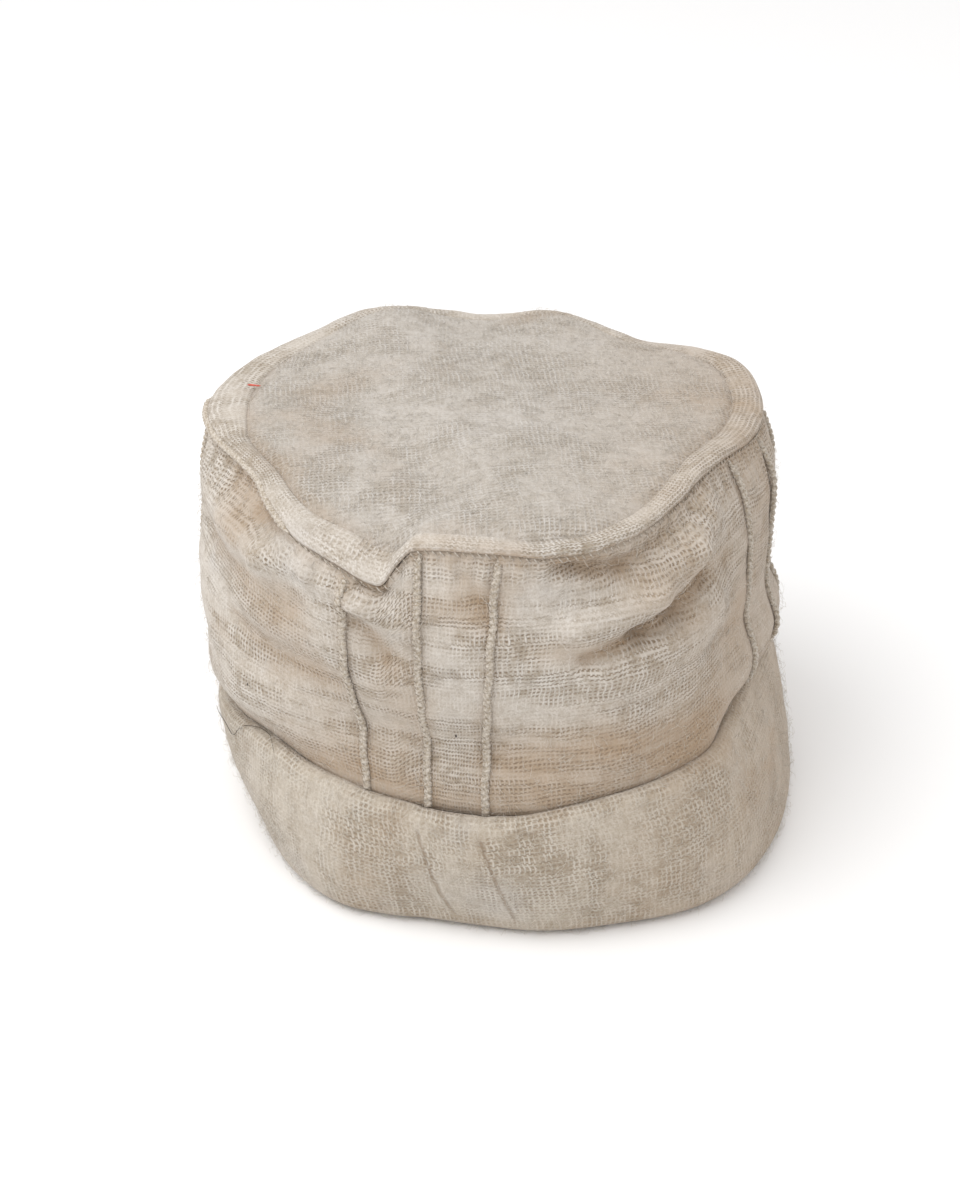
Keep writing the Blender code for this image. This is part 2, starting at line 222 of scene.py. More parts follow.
TUCKS = (
    TuckRow(-120.0, 0.0),
    TuckRow(-105.0, 0.5),
    TuckRow(-90.0, 0.0),
    TuckRow(-27.2, 0.6, -3.2),
    TuckRow(-12.8, -5.0, -1.0),
    TuckRow(2.4, -10.0, -1.4),
    TuckRow(67.5, -7.0),
    TuckRow(83.5, -6.5),
    TuckRow(99.0, -4.0),
    TuckRow(150.0, 1.5),
    TuckRow(165.0, 2.0),
    TuckRow(180.0, 1.5),
)

WALL_FOLDS = (
    FoldRow(52, 0.96, 43, 0.93, 0.70, 0.55),
    FoldRow(43, 0.92, 31, 0.87, 0.62, 0.70),
    FoldRow(31, 0.86, 15, 0.815, 0.52, 0.70),
    FoldRow(54, 0.83, 45, 0.835, 0.50, -0.35),
    FoldRow(44, 0.835, 35, 0.80, 0.40, -0.75),
    FoldRow(35, 0.795, 27, 0.765, 0.34, -0.85),
    FoldRow(27, 0.765, 16, 0.735, 0.34, -0.65),
    FoldRow(46, 0.74, 22, 0.685, 0.80, 0.45),
    FoldRow(14, 0.965, 25, 0.93, 0.40, -0.80),
    FoldRow(27, 0.945, 46, 0.97, 0.30, -0.40),
    FoldRow(52, 0.54, 34, 0.44, 1.00, -0.30),
    FoldRow(-64, 0.885, -49, 0.885, 0.60, 0.35),
    FoldRow(-49, 0.885, -36, 0.915, 0.55, 0.50),
    FoldRow(-35, 0.905, -27, 0.87, 0.50, 0.50),
    FoldRow(-66, 0.955, -50, 0.955, 0.45, -0.40),
    FoldRow(-53, 0.945, -47, 0.945, 0.40, -0.60),
    FoldRow(-46, 0.95, -30, 0.91, 0.32, -0.35),
    FoldRow(-76, 0.80, -40, 0.80, 0.70, -0.40),
    FoldRow(-25, 0.855, -17, 0.80, 0.42, 0.75),
    FoldRow(-25, 0.885, -21, 0.885, 0.26, -0.80),
    FoldRow(-26, 0.80, -21, 0.72, 0.40, -0.40),
    FoldRow(-4, 0.93, 0, 0.84, 0.45, -0.35),
    FoldRow(-110, 0.80, -72, 0.62, 1.30, 0.40),
    FoldRow(-66, 0.58, -38, 0.50, 0.90, 0.40),
    FoldRow(-58, 0.66, -34, 0.62, 0.60, -0.35),
    FoldRow(112, 0.84, 150, 0.62, 1.2, 0.50),
    FoldRow(118, 0.62, 156, 0.44, 1.1, -0.50),
    FoldRow(-168, 0.50, -128, 0.70, 1.2, -0.50),
    FoldRow(-172, 0.72, -138, 0.86, 1.2, 0.45),
)

CROWN_DENTS = (
    DentRow(-0.45, 0.62, 0.26, 0.9),
    DentRow(0.30, 0.66, 0.24, 0.7),
    DentRow(-0.05, 0.72, 0.18, -0.5),
    DentRow(0.52, -0.28, 0.26, -0.5),
    DentRow(-0.50, -0.05, 0.30, -0.5),
    DentRow(0.05, -0.25, 0.34, 0.5),
    DentRow(-0.38, 0.80, 0.17, 1.0),
    DentRow(0.28, 0.82, 0.17, 0.9),
    DentRow(-0.14, -0.62, 0.12, -0.9),
    DentRow(-0.22, -0.40, 0.13, -0.5),
    DentRow(0.20, -0.72, 0.16, 0.5),
)

WELT_LINE = (
    WeltRow(-180, 0.1, 0.9, 0.0),
    WeltRow(-150, 0.2, 0.9, 0.0),
    WeltRow(-125, 0.6, 1.1, 0.0),
    WeltRow(-96, 0.9, 1.25, 0.2),
    WeltRow(-84, 0.9, 1.05, 0.2),
    WeltRow(-72, 0.8, 0.66, 0.0),
    WeltRow(-60, 0.8, 0.58, 0.0),
    WeltRow(-48, 0.9, 0.76, 0.0),
    WeltRow(-36, 0.9, 0.98, 0.0),
    WeltRow(-28, 0.5, 1.05, 0.0),
    WeltRow(-21, 0.1, 0.90, 0.0),
    WeltRow(-14, 0.1, 0.66, 0.0),
    WeltRow(-5, 0.1, 0.62, 0.0),
    WeltRow(25, 0.15, 0.62, 0.0),
    WeltRow(45, 0.25, 0.75, 0.0),
    WeltRow(85, 0.7, 0.95, 0.0),
    WeltRow(125, 0.6, 0.95, 0.0),
    WeltRow(155, 0.1, 0.9, 0.0),
)

WALL_TAN_PLACES = (
    TanPlaceRow(60, 0.66, 6, 0.08, 0.9),
    TanPlaceRow(18, 0.50, 14, 0.05, 0.8),
    TanPlaceRow(2, 0.44, 12, 0.04, 0.6),
    TanPlaceRow(34, 0.47, 14, 0.05, 0.7),
    TanPlaceRow(-6, 0.86, 7, 0.04, 0.7),
    TanPlaceRow(16, 0.76, 10, 0.03, 0.6),
    TanPlaceRow(-34, 0.42, 12, 0.08, 0.6),
    TanPlaceRow(-20, 0.60, 6, 0.20, 0.5),
    TanPlaceRow(-58, 0.90, 8, 0.05, 0.7),
    TanPlaceRow(-45, 0.74, 8, 0.04, 0.5),
    TanPlaceRow(30, 0.90, 6, 0.05, 0.4),
)


def slopes(knots: np.ndarray, values: np.ndarray) -> np.ndarray:
    """Gives a smooth curve's slope at each knot, from the knots on both sides of it."""
    before = np.concatenate([[0], np.arange(len(knots) - 1)])
    after = np.concatenate([np.arange(1, len(knots)), [len(knots) - 1]])
    return (values[after] - values[before]) / (knots[after] - knots[before])


def segment(share: Any, span: Any, ends: tuple[Any, Any], leaning: tuple[Any, Any]) -> Any:
    """Reads a smooth piece of curve.

    Args:
        share: How far along the piece, from 0 to 1.
        span: The piece's length.
        ends: The values at its ends.
        leaning: The slopes at its ends.

    Returns:
        The curve's values.
    """
    rest = 1 - share
    near = rest * rest * ((1 + 2 * share) * ends[0] + share * span * leaning[0])
    return near + share * share * ((3 - 2 * share) * ends[1] - rest * span * leaning[1])


def hermite(knots: np.ndarray, values: np.ndarray, at: np.ndarray) -> np.ndarray:
    """Runs a smooth curve through values at knots, level beyond the first and the last.

    Args:
        knots: Rising places, one row for each knot, each in the shape of at.
        values: The value at each knot, in the same shape.
        at: The places to read.

    Returns:
        The curves' values at those places.
    """
    leaning = slopes(knots, values)
    found = np.where(at <= knots[0], values[0], values[-1])
    for i in range(len(knots) - 1):
        span = knots[i + 1] - knots[i]
        share = np.clip((at - knots[i]) / span, 0.0, 1.0)
        piece = segment(share, span, (values[i], values[i + 1]), (leaning[i], leaning[i + 1]))
        found = np.where((at > knots[i]) & (at <= knots[i + 1]), piece, found)
    return found


def around(rows: tuple[Any, ...], column: str, bearing: np.ndarray) -> np.ndarray:
    """Reads a table's column at bearings, smooth all the way round the hat.

    Args:
        rows: The table.
        column: The column's name.
        bearing: Degrees from the front, growing towards +X.

    Returns:
        The column's value at each bearing.
    """
    half = FULL_TURN / 2
    turned = (bearing + half) % FULL_TURN - half
    ordered = sorted((((row.bearing + half) % FULL_TURN - half), getattr(row, column)) for row in rows)
    knots = np.array([place + turn for turn in (-FULL_TURN, 0.0, FULL_TURN) for place, _ in ordered])
    values = np.array([value for _, value in ordered] * 3, dtype=float)
    leaning = slopes(knots, values)
    i = np.searchsorted(knots, turned) - 1
    span = knots[i + 1] - knots[i]
    return segment((turned - knots[i]) / span, span, (values[i], values[i + 1]), (leaning[i], leaning[i + 1]))


def smoothstep(low: Any, high: Any, at: np.ndarray) -> np.ndarray:
    """Gives 0 below low, 1 above high, and a smooth step between them."""
    t = np.clip((at - low) / (high - low), 0.0, 1.0)
    return t * t * (3 - 2 * t)


def soft_noise(points: np.ndarray, size: float, seed: float) -> np.ndarray:
    """Reads smooth noise at points.

    Args:
        points: Places in metres, x, y and z in the last axis.
        size: The size of the noise's lumps, in metres.
        seed: Sets one reading apart from another.

    Returns:
        A value from about -1 to 1 for each point.
    """
    flat = points.reshape(-1, 3) / size + seed
    found = [noise.noise(Vector(point)) for point in flat]
    return np.array(found).reshape(points.shape[:-1])


@dataclass(frozen=True)
class HatForm:
    """The slumped shape that every cloth of the hat is laid on. Lengths are in metres."""

    crown_radius: float = 0.100
    hat_height: float = 0.147
    foot_radius: float = 0.103
    cuff_height: float = 0.055
    hem_depth: float = 0.021
    cloth: float = 0.002
    lean: float = 0.015
    foot_offset: float = 0.006
    roll_radius: float = 0.0031
    inner_bend: float = 0.0042
    outer_bend: float = 0.0055
    fold_width: float = 0.014
    cuff_belly: float = 0.003
    welt_width: float = 0.0105
    welt_thickness: float = 0.0042
    welt_lip: float = 0.0022
    crown_rise: float = 0.004
    fold_spread: float = 0.010
    fold_rise: float = 0.006
    seam_gap: float = 0.0004
    seam_drop: float = 0.0010
    tuck_room: float = 0.00065
    lean_over: float = 0.0044
    held_by_crown: float = 0.7
    calm_sector: float = 60.0
    shift: tuple[float, float] = (0.0043, 0.00225)

    def place(self, bearing: np.ndarray, radius: np.ndarray, height: np.ndarray) -> np.ndarray:
        """Finds points at bearings and distances from the hat's leaning middle line."""
        turn = np.radians(bearing)
        middle = self.foot_offset - self.lean * height / self.hat_height + self.shift[0]
        across = middle + radius * np.sin(turn)
        return np.stack([across, self.shift[1] - radius * np.cos(turn), height + 0 * turn], axis=-1)

    def crown_edge(self, bearing: np.ndarray) -> tuple[np.ndarray, np.ndarray]:
        """Gives the radius and the height of the crown's outer edge."""
        reach = self.crown_radius * around(CROWN_EDGE, "reach", bearing)
        return reach, self.hat_height * around(CROWN_EDGE, "height", bearing)

    def calm_edge(self, bearing: np.ndarray, share: np.ndarray) -> tuple[np.ndarray, np.ndarray]:
        """Gives the edge as a ring of the crown feels it, a wider mean nearer the middle."""
        sector = self.calm_sector * (1 - share)
        samples = [self.crown_edge(bearing + sector * part) for part in np.linspace(-0.5, 0.5, 7)]
        reach = sum(sample[0] for sample in samples) / len(samples)
        return reach, sum(sample[1] for sample in samples) / len(samples)

    def crown_point(self, bearing: np.ndarray, share: np.ndarray) -> np.ndarray:
        """Finds points of the crown's middle surface, share 1 at its outer edge."""
        reach, edge_height = self.calm_edge(bearing, share)
        turn = np.radians(bearing)
        right = share * reach / self.crown_radius * np.sin(turn)
        back = -share * reach / self.crown_radius * np.cos(turn)
        settle = share**3
        height = (self.hat_height + self.crown_rise) * (1 - settle) + edge_height * settle
        for dent in CROWN_DENTS:
            apart = np.hypot(right - dent.right, back - dent.back) / dent.spread
            height = height + self.crown_rise * dent.rise * np.exp(-apart * apart) * (1 - share**6)
        edge = self.place(bearing, reach, edge_height)
        middle = np.array([self.foot_offset - self.lean + self.shift[0], self.shift[1]])
        level = middle + (edge[..., :2] - middle) * share[..., None]
        return np.concatenate([level, height[..., None]], axis=-1)

    def cuff_edge(self, bearing: np.ndarray) -> tuple[np.ndarray, np.ndarray]:
        """Gives the radius and the height of the top of the cuff."""
        reach = self.foot_radius * around(CUFF_EDGE, "reach", bearing)
        return reach, self.cuff_height * around(CUFF_EDGE, "height", bearing)

    def foot_reach(self, bearing: np.ndarray) -> np.ndarray:
        """Gives the radius of the bottom fold's outer side."""
        return self.foot_radius * around(FOOT_LINE, "reach", bearing)

    def fold_top(self) -> float:
        """Gives the height where the side wall stands on the cuff's inner end."""
        return self.cloth / 2 + self.inner_bend + self.seam_gap

    def fold_relief(self, folds: tuple[FoldRow, ...], bearing: np.ndarray, level: np.ndarray) -> np.ndarray:
        """Adds up how far folds move a cloth out.

        Args:
            folds: The folds, their ends in bearings and shares of the hat's height.
            bearing: Where to read, in degrees.
            level: Where to read, in shares of the hat's height.

        Returns:
            The way out at each place, in metres.
        """
        relief = np.zeros(np.broadcast(bearing, level).shape)
        for fold in folds:
            middle = (fold.bearing_a + fold.bearing_b) / 2
            near = middle + (bearing - middle + 180.0) % 360.0 - 180.0
            ax, ay = math.radians(fold.bearing_a) * self.crown_radius, fold.level_a * self.hat_height
            bx, by = math.radians(fold.bearing_b) * self.crown_radius, fold.level_b * self.hat_height
            px, py = np.radians(near) * self.crown_radius, level * self.hat_height
            length_sq = (bx - ax) ** 2 + (by - ay) ** 2
            along = np.clip(((px - ax) * (bx - ax) + (py - ay) * (by - ay)) / length_sq, 0.0, 1.0)
            apart = np.hypot(px - ax - along * (bx - ax), py - ay - along * (by - ay))
            relief = relief + self.fold_rise * fold.rise * np.exp(-((apart / (self.fold_spread * fold.spread)) ** 2))
        return relief

    def wall_top(self, bearing: np.ndarray) -> tuple[np.ndarray, np.ndarray]:
        """Gives the radius and the height of the side wall's upper edge, under the welt."""
        reach, height = self.crown_edge(bearing)
        return reach - self.welt_lip, height - self.seam_drop

    def welt_share(self, bearing: np.ndarray) -> np.ndarray:
        """Gives the share of the crown's radius at which the welt begins."""
        reach, _ = self.crown_edge(bearing)
        return 1 - self.welt_width * around(WELT_LINE, "width", bearing) / reach

    def wall_reach(self, bearing: np.ndarray, height: np.ndarray) -> np.ndarray:
        """Gives the radius of the middle of the side wall's cloth, one row of heights above another."""
        top_reach, top_height = self.wall_top(bearing)
        edge_reach, edge_height = self.cuff_edge(bearing)
        inside_hem = edge_reach - 2 * (self.roll_radius + self.cloth + self.seam_gap) - self.tuck_room
        knots = [self.fold_top() + 0 * bearing, edge_height - self.roll_radius]
        reaches = [self.foot_reach(bearing) - self.fold_width, inside_hem]
        for column, share in zip(WallRow._fields[1:], WALL_HEIGHTS):
            carried = (top_height - self.hat_height) * (share > self.held_by_crown)
            knots.append(share * self.hat_height + carried)
            reaches.append(self.crown_radius * around(WALL, column, bearing))
        knots.append(top_height)
        reaches.append(top_reach)
        bare = hermite(np.array(knots), np.array(reaches), height)
        above_cuff = smoothstep(edge_height, edge_height + self.fold_spread, height)
        below_crown = 1 - smoothstep(top_height - self.fold_spread / 2, top_height, height)
        over_cuff = smoothstep(edge_height - 0.0095, edge_height + 0.001, height)
        over_cuff = over_cuff * (1 - smoothstep(edge_height + 0.010, edge_height + 0.032, height))
        pocket = 1 - 0.45 * np.exp(-((((bearing + 180) % 360 - 170) / 18) ** 2))
        folds = self.fold_relief(WALL_FOLDS, bearing, height / self.hat_height)
        return bare + folds * above_cuff * below_crown + self.lean_over * over_cuff * pocket

    def wall_turn(self, bearing: np.ndarray, level: np.ndarray) -> np.ndarray:
        """Turns bearings at the wall's top to where the same thread stands lower down."""
        bow = around(TUCKS, "bow", bearing) * 4 * level * (1 - level)
        return bearing + around(TUCKS, "turn", bearing) * (1 - level) + bow

    def wall_point(self, bearing: np.ndarray, level: np.ndarray, out: Any) -> np.ndarray:
        """Finds points of the side wall.

        Args:
            bearing: The thread's bearing at the top.
            level: Share of the way up, from the bottom fold to the welt.
            out: How far outside the middle of the cloth, in metres.

        Returns:
            The points.
        """
        _, top_height = self.wall_top(bearing)
        height = self.fold_top() + (top_height - self.fold_top()) * level
        turned = self.wall_turn(bearing, level)
        return self.place(turned, self.wall_reach(turned, height) + out, height)

    def cuff_line(self, bearing: np.ndarray) -> np.ndarray:
        """Lays out the cuff's section: under the wall, along the table, up, over and down inside.

        Args:
            bearing: The bearings, in degrees.

        Returns:
            The section's knots, (knot, bearing, radius or height).
        """
        foot = self.foot_reach(bearing) - self.cloth / 2
        edge, top = self.cuff_edge(bearing)
        edge, top = edge - self.cloth / 2, top - self.cloth / 2
        start = self.foot_reach(bearing) - self.fold_width
        floor = self.cloth / 2
        knots = []

        def arc(centre: np.ndarray, base: np.ndarray, radius: float, first: float, last: float, steps: int) -> None:
            """Adds an arc of the section."""
            for turn in np.radians(np.linspace(first, last, steps)):
                knots.append(np.stack([centre + radius * math.cos(turn), base + radius * math.sin(turn)], -1))

        arc(start + self.inner_bend, floor + self.inner_bend + 0 * foot, self.inner_bend, 180, 270, 8)
        arc(foot - self.outer_bend, floor + self.outer_bend + 0 * foot, self.outer_bend, 270, 360, 10)
        low, high = floor + self.outer_bend, top - self.roll_radius
        belly = self.cuff_belly * around(FOOT_LINE, "belly", bearing)
        for share in np.linspace(0, 1, 18)[1:-1]:
            swell = belly * math.sin(math.pi * share)
            knots.append(np.stack([foot + (edge - foot) * share + swell, low + (high - low) * share], -1))
        arc(edge - self.roll_radius, high, self.roll_radius, 0, 180, 12)
        inside = edge - 2 * self.roll_radius
        slope = (edge - foot) / (high - low)
        for share in np.linspace(0, 1, 7)[1:]:
            drop = self.hem_depth * share
            knots.append(np.stack([inside - slope * drop, high - drop], -1))
        return np.array(knots)


class Signal:
    """A shader value that Python arithmetic turns into Math nodes."""

    def __init__(self, graph: "Graph", socket: bpy.types.NodeSocket) -> None:
        """Wraps a node's output."""
        self.graph = graph
        self.socket = socket

    def _math(self, operation: str, *others: Any) -> "Signal":
        """Adds a Math node with this value first."""
        values = {i: value for i, value in enumerate((self, *others))}
        return self.graph.node("ShaderNodeMath", {"operation": operation}, values)

    def _turned(self, operation: str, other: Any) -> "Signal":
        """Adds a Math node with this value second."""
        return self.graph.node("ShaderNodeMath", {"operation": operation}, {0: other, 1: self})

    def __add__(self, other: Any) -> "Signal":
        """Adds."""
        return self._math("ADD", other)

    __radd__ = __add__

    def __mul__(self, other: Any) -> "Signal":
        """Multiplies."""
        return self._math("MULTIPLY", other)

    __rmul__ = __mul__

    def __sub__(self, other: Any) -> "Signal":
        """Takes away."""
        return self._math("SUBTRACT", other)

    def __rsub__(self, other: Any) -> "Signal":
        """Is taken away from a number."""
        return self._turned("SUBTRACT", other)

    def __truediv__(self, other: Any) -> "Signal":
        """Divides."""
        return self._math("DIVIDE", other)

    def __pow__(self, other: Any) -> "Signal":
        """Raises to a power."""
        return self._math("POWER", other)

    def floor(self) -> "Signal":
        """Rounds down."""
        return self._math("FLOOR")

    def fraction(self) -> "Signal":
        """Keeps what is past the whole number."""
        return self._math("FRACT")

    def size(self) -> "Signal":
        """Drops the sign."""
        return self._math("ABSOLUTE")

    def cosine(self) -> "Signal":
        """Takes the cosine."""
        return self._math("COSINE")

    def larger(self, other: Any) -> "Signal":
        """Takes the larger of two values."""
        return self._math("MAXIMUM", other)

    def step(self, low: Any, high: Any) -> "Signal":
        """Steps smoothly from 0 at low to 1 at high."""
        settings = {"interpolation_type": "SMOOTHSTEP"}
        return self.graph.node("ShaderNodeMapRange", settings, {"Value": self, "From Min": low, "From Max": high})


class Graph:
    """Builds one material's nodes."""

    def __init__(self, name: str) -> None:
        """Makes an empty material with a Principled shader."""
        self.material = bpy.data.materials.new(name)
        self.material.use_nodes = True
        self.tree = self.material.node_tree
        self.shader = self.tree.nodes["Principled BSDF"]

    def node(self, kind: str, settings: dict[str, Any], sockets: dict[Any, Any], output: Any = 0) -> Signal:
        """Adds a node.

        Args:
            kind: The node's type.
            settings: Its settings, set before its sockets.
            sockets: Values or links for its inputs, by name or number.
            output: The output to wrap, by name or number.

        Returns:
            That output.
        """
        made = self.tree.nodes.new(kind)
        for name, value in settings.items():
            setattr(made, name, value)
        for key, value in sockets.items():
            self.feed(made.inputs[key], value)
        return Signal(self, made.outputs[output])

    def feed(self, target: bpy.types.NodeSocket, value: Any) -> None:
        """Links a signal to an input, or sets a plain value on it."""
        if isinstance(value, Signal):
            self.tree.links.new(value.socket, target)
        else:
            target.default_value = value

    def noise(self, place: Signal, scale: float, detail: float, stretch: tuple[float, float, float]) -> Signal:
        """Adds noise.

        Args:
            place: The coordinates.
            scale: Lumps in a metre.
            detail: Octaves.
            stretch: How much each axis counts.

        Returns:
            The noise, from 0 to 1.
        """
        settings = {"operation": "MULTIPLY"}
        placed = self.node("ShaderNodeVectorMath", settings, {0: place, 1: stretch})
        sockets = {"Vector": placed, "Scale": scale, "Detail": detail, "Roughness": 0.55}
        return self.node("ShaderNodeTexNoise", {"noise_dimensions": "3D"}, sockets)

    def blend(self, share: Any, first: Any, second: Any) -> Signal:
        """Mixes two colours, second where the share is 1."""
        settings = {"data_type": "RGBA", "blend_type": "MIX"}
        return self.node("ShaderNodeMix", settings, {0: share, 6: first, 7: second}, 2)

    def yarn_chance(self, index: Signal) -> Signal:
        """Gives each whole number its own chance value from 0 to 1."""
        return self.node("ShaderNodeTexWhiteNoise", {"noise_dimensions": "1D"}, {"W": index}, "Value")


class Weave(Enum):
    """How a cloth's threads lie, and which of them show."""

    BANDED = "weft rows that open in bands"
    RIBBED = "warp lines that stand over the weft"
    EVEN = "warp and weft alike"


@dataclass(frozen=True)
class WovenWool:
    """Open handwoven wool: two sets of uneven yarns, holes between them and fulled places without."""

    name: str
    weave: Weave
    warp_pitch: float = 0.00150
    weft_pitch: float = 0.00160
    # The lit and the shaded colour are two copies of the wool's colour: painted highlight on the yarn tops and
    # painted shade on the ground between them.
    lit: tuple[float, float, float, float] = (0.655, 0.612, 0.560, 1.0)
    shaded: tuple[float, float, float, float] = (0.325, 0.266, 0.196, 1.0)
    haze: tuple[float, float, float, float] = (0.560, 0.532, 0.505, 1.0)
    # The hole colour is painted shade: the dark brown seen in the gaps between the yarns and in pressed creases.
    hole_shade: tuple[float, float, float, float] = (0.200, 0.135, 0.078, 1.0)
    # This tan colour serves both the wool's random tan patches and painted shade on the right side and in the
    # hollows.
    stain_and_shade: tuple[float, float, float, float] = (0.365, 0.255, 0.160, 1.0)
    hole_depth: float = 0.85
    openness: float = 0.0
    creases: tuple[tuple[float, float, float, float], ...] = ()

    def build(self) -> bpy.types.Material:
        """Makes the material on the piece's UV map, in metres, and its Object coordinates."""
        graph = Graph(self.name)
        place = graph.node("ShaderNodeTexCoord", {}, {}, "Object")
        uv = graph.node("ShaderNodeUVMap", {"uv_map": "UVMap"}, {})
        u = graph.node("ShaderNodeSeparateXYZ", {}, {0: uv}, 0)
        v = graph.node("ShaderNodeSeparateXYZ", {}, {0: uv}, 1)
        # The point attribute holds painted shade in crevices, creases, fold valleys and under overhangs, plus the
        # wall's listed tan places.
        hollow = graph.node("ShaderNodeAttribute", {"attribute_name": "hollow"}, {}, "Fac")
        sway = graph.noise(place, 34.0, 2.0, (1.0, 1.0, 1.0)) - 0.5
        swing = graph.noise(place, 27.0, 2.0, (1.0, 1.0, -1.0)) - 0.5
        waver = graph.noise(place, 330.0, 1.0, (1.0, 1.0, 1.0)) - 0.5
        quiver = graph.noise(place, 290.0, 1.0, (-1.0, 1.0, 1.0)) - 0.5
        y = (v + swing * 0.0050 + quiver * 0.0010) / self.weft_pitch
        row = y.floor()
        row_chance = graph.yarn_chance(row + 0.37)
        lean = (y.fraction() - 0.5) * (row_chance * 0.5) + row_chance * 0.42
        x = (u + sway * 0.0050 + waver * 0.0008) / self.warp_pitch + lean
        line_chance = graph.yarn_chance(x.floor())
        cell_chance = graph.yarn_chance(x.floor() * 7.13 + row * 3.71)
        across = (x.fraction() - 0.5).size() * 2
        along = (y.fraction() - 0.5).size() * 2
        warp_width, weft_width, warp_highlight, weft_highlight = self._yarns()
        warp = (1 - across.step(warp_width * 0.2, warp_width)) * (line_chance * 0.5 + 0.5) * warp_highlight
        weft = (1 - along.step(weft_width * 0.2, weft_width)) * (row_chance * 0.6 + 0.4) * weft_highlight
        felted = self._felted(graph, place)
        pores = graph.noise(place, 560.0, 1.0, (1.0, 1.0, 1.0)).step(0.30, 0.54) * (cell_chance * 0.6 + 0.4)
        gap = across.step(0.34, 0.76) * along.step(0.32, 0.80) * pores * (1 - felted * 0.94)
        fibres = graph.noise(place, 1900.0, 2.0, (1.0, 1.0, 1.0)) - 0.5
        nap = graph.noise(place, 520.0, 4.0, (1.0, 1.0, 1.0)) - 0.5
        clouds = graph.noise(place, 15.0, 3.0, (1.0, 1.0, 1.0)) - 0.5
        mist = graph.noise(place, 31.0, 4.0, (-1.0, 1.0, 1.0)).step(0.50, 0.76)
        patches = graph.noise(place, 24.0, 4.0, (1.0, 1.0, -1.0)).step(0.50, 0.76)
        right_side_shade = graph.node("ShaderNodeSeparateXYZ", {}, {0: place}, 0).step(0.0, 0.12)
        yarn_highlight_share = graph.noise(place, 210.0, 2.0, (1.0, 1.0, 1.0)).step(0.28, 0.62)
        yarns = warp.larger(weft) * (1 - felted * 0.70)
        # The tone blends the shaded and the lit colour: painted highlight on the yarn tops, painted shade on the
        # ground, and random tone from the felting, nap, fibres and clouds.
        tone = yarns * yarn_highlight_share * 0.95 + felted * 0.30 + nap * 0.75 + fibres * 0.90 + clouds * 0.50 + 0.16
        colour = graph.blend(tone.step(-0.20, 1.15), self.shaded, self.lit)
        colour = graph.blend(mist * 0.35, colour, self.haze)
        # Random tan patches, the wool's own mottling, plus painted shade on the hat's right side, away from the
        # lamp.
        colour = graph.blend(patches * 0.40 + right_side_shade * 0.44, colour, self.stain_and_shade)
        rough_shade_and_tan = hollow * (nap * 1.2 + felted * -0.25 + 1.0)
        # Painted shade in the hollows, and the wall's tan places, blended toward the tan colour.
        colour = graph.blend(rough_shade_and_tan * 0.80, colour, self.stain_and_shade)
        # Painted shade: the gaps between the yarns are darkened toward the hole colour.
        colour = graph.blend(gap * self.hole_depth, colour, self.hole_shade)
        height = yarns * 0.8 - gap * 0.8 + nap * 1.0 + fibres * 0.5
        for ends in self.creases:
            mark = self._crease(u + sway * 0.003, v, ends)
            # Painted shade: each pressed crease is darkened toward the hole colour, besides being sunk in the bump.
            colour = graph.blend(mark * 0.50, colour, self.hole_shade)
            height = height - mark * 1.2
        bump = graph.node("ShaderNodeBump", {}, {"Strength": 0.75, "Distance": 0.00045, "Height": height})
        graph.feed(graph.shader.inputs["Base Color"], colour)
        graph.feed(graph.shader.inputs["Normal"], bump)
        graph.feed(graph.shader.inputs["Roughness"], 0.95)
        graph.feed(graph.shader.inputs["Specular IOR Level"], 0.15)
        graph.feed(graph.shader.inputs["Sheen Weight"], 0.2)
        graph.feed(graph.shader.inputs["Sheen Roughness"], 0.6)
        return graph.material

    def _yarns(self) -> tuple[float, float, float, float]:
        """Gives the warp's and the weft's width, in shares of a pitch, and how strongly each gets the painted
        highlight on its top.
        """
        if self.weave is Weave.BANDED:
            return 0.56, 0.80, 1.15, 0.85
        if self.weave is Weave.RIBBED:
            return 0.52, 0.46, 1.20, 0.75
        return 0.54, 0.52, 1.10, 0.80

    def _felted(self, graph: Graph, place: Signal) -> Signal:
        """Gives 1 where the cloth is fulled shut and 0 where its weave is open."""
        low, high = 0.385 + self.openness, 0.60 + self.openness
        clouds = graph.noise(place, 40.0, 4.0, (1.0, 1.0, 1.0))
        if self.weave is Weave.BANDED:
            bands = graph.noise(place, 34.0, 3.0, (0.40, 0.40, 6.0))
            return (clouds * 0.45 + bands * 0.55).step(low + 0.05, high - 0.03)
        if self.weave is Weave.RIBBED:
            ribs = graph.noise(place, 60.0, 2.0, (3.0, 3.0, 0.35))
            return (clouds * 0.75 + ribs * 0.25).step(low + 0.02, high)
        return clouds.step(low, high)

    def _crease(self, u: Signal, v: Signal, ends: tuple[float, float, float, float]) -> Signal:
        """Marks a thin pressed line between two places on the UV map.

        Args:
            u: Where across the cloth.
            v: Where along it.
            ends: The lower end's and the upper end's u and v.

        Returns:
            1 on the line and 0 away from it.
        """
        low_u, low_v, high_u, high_v = ends
        line = (v - low_v) * ((high_u - low_u) / (high_v - low_v)) + low_u
        near = 1 - (u - line).size().step(0.0002, 0.0010)
        return near * v.step(low_v, low_v + 0.004) * (1 - v.step(high_v - 0.003, high_v))


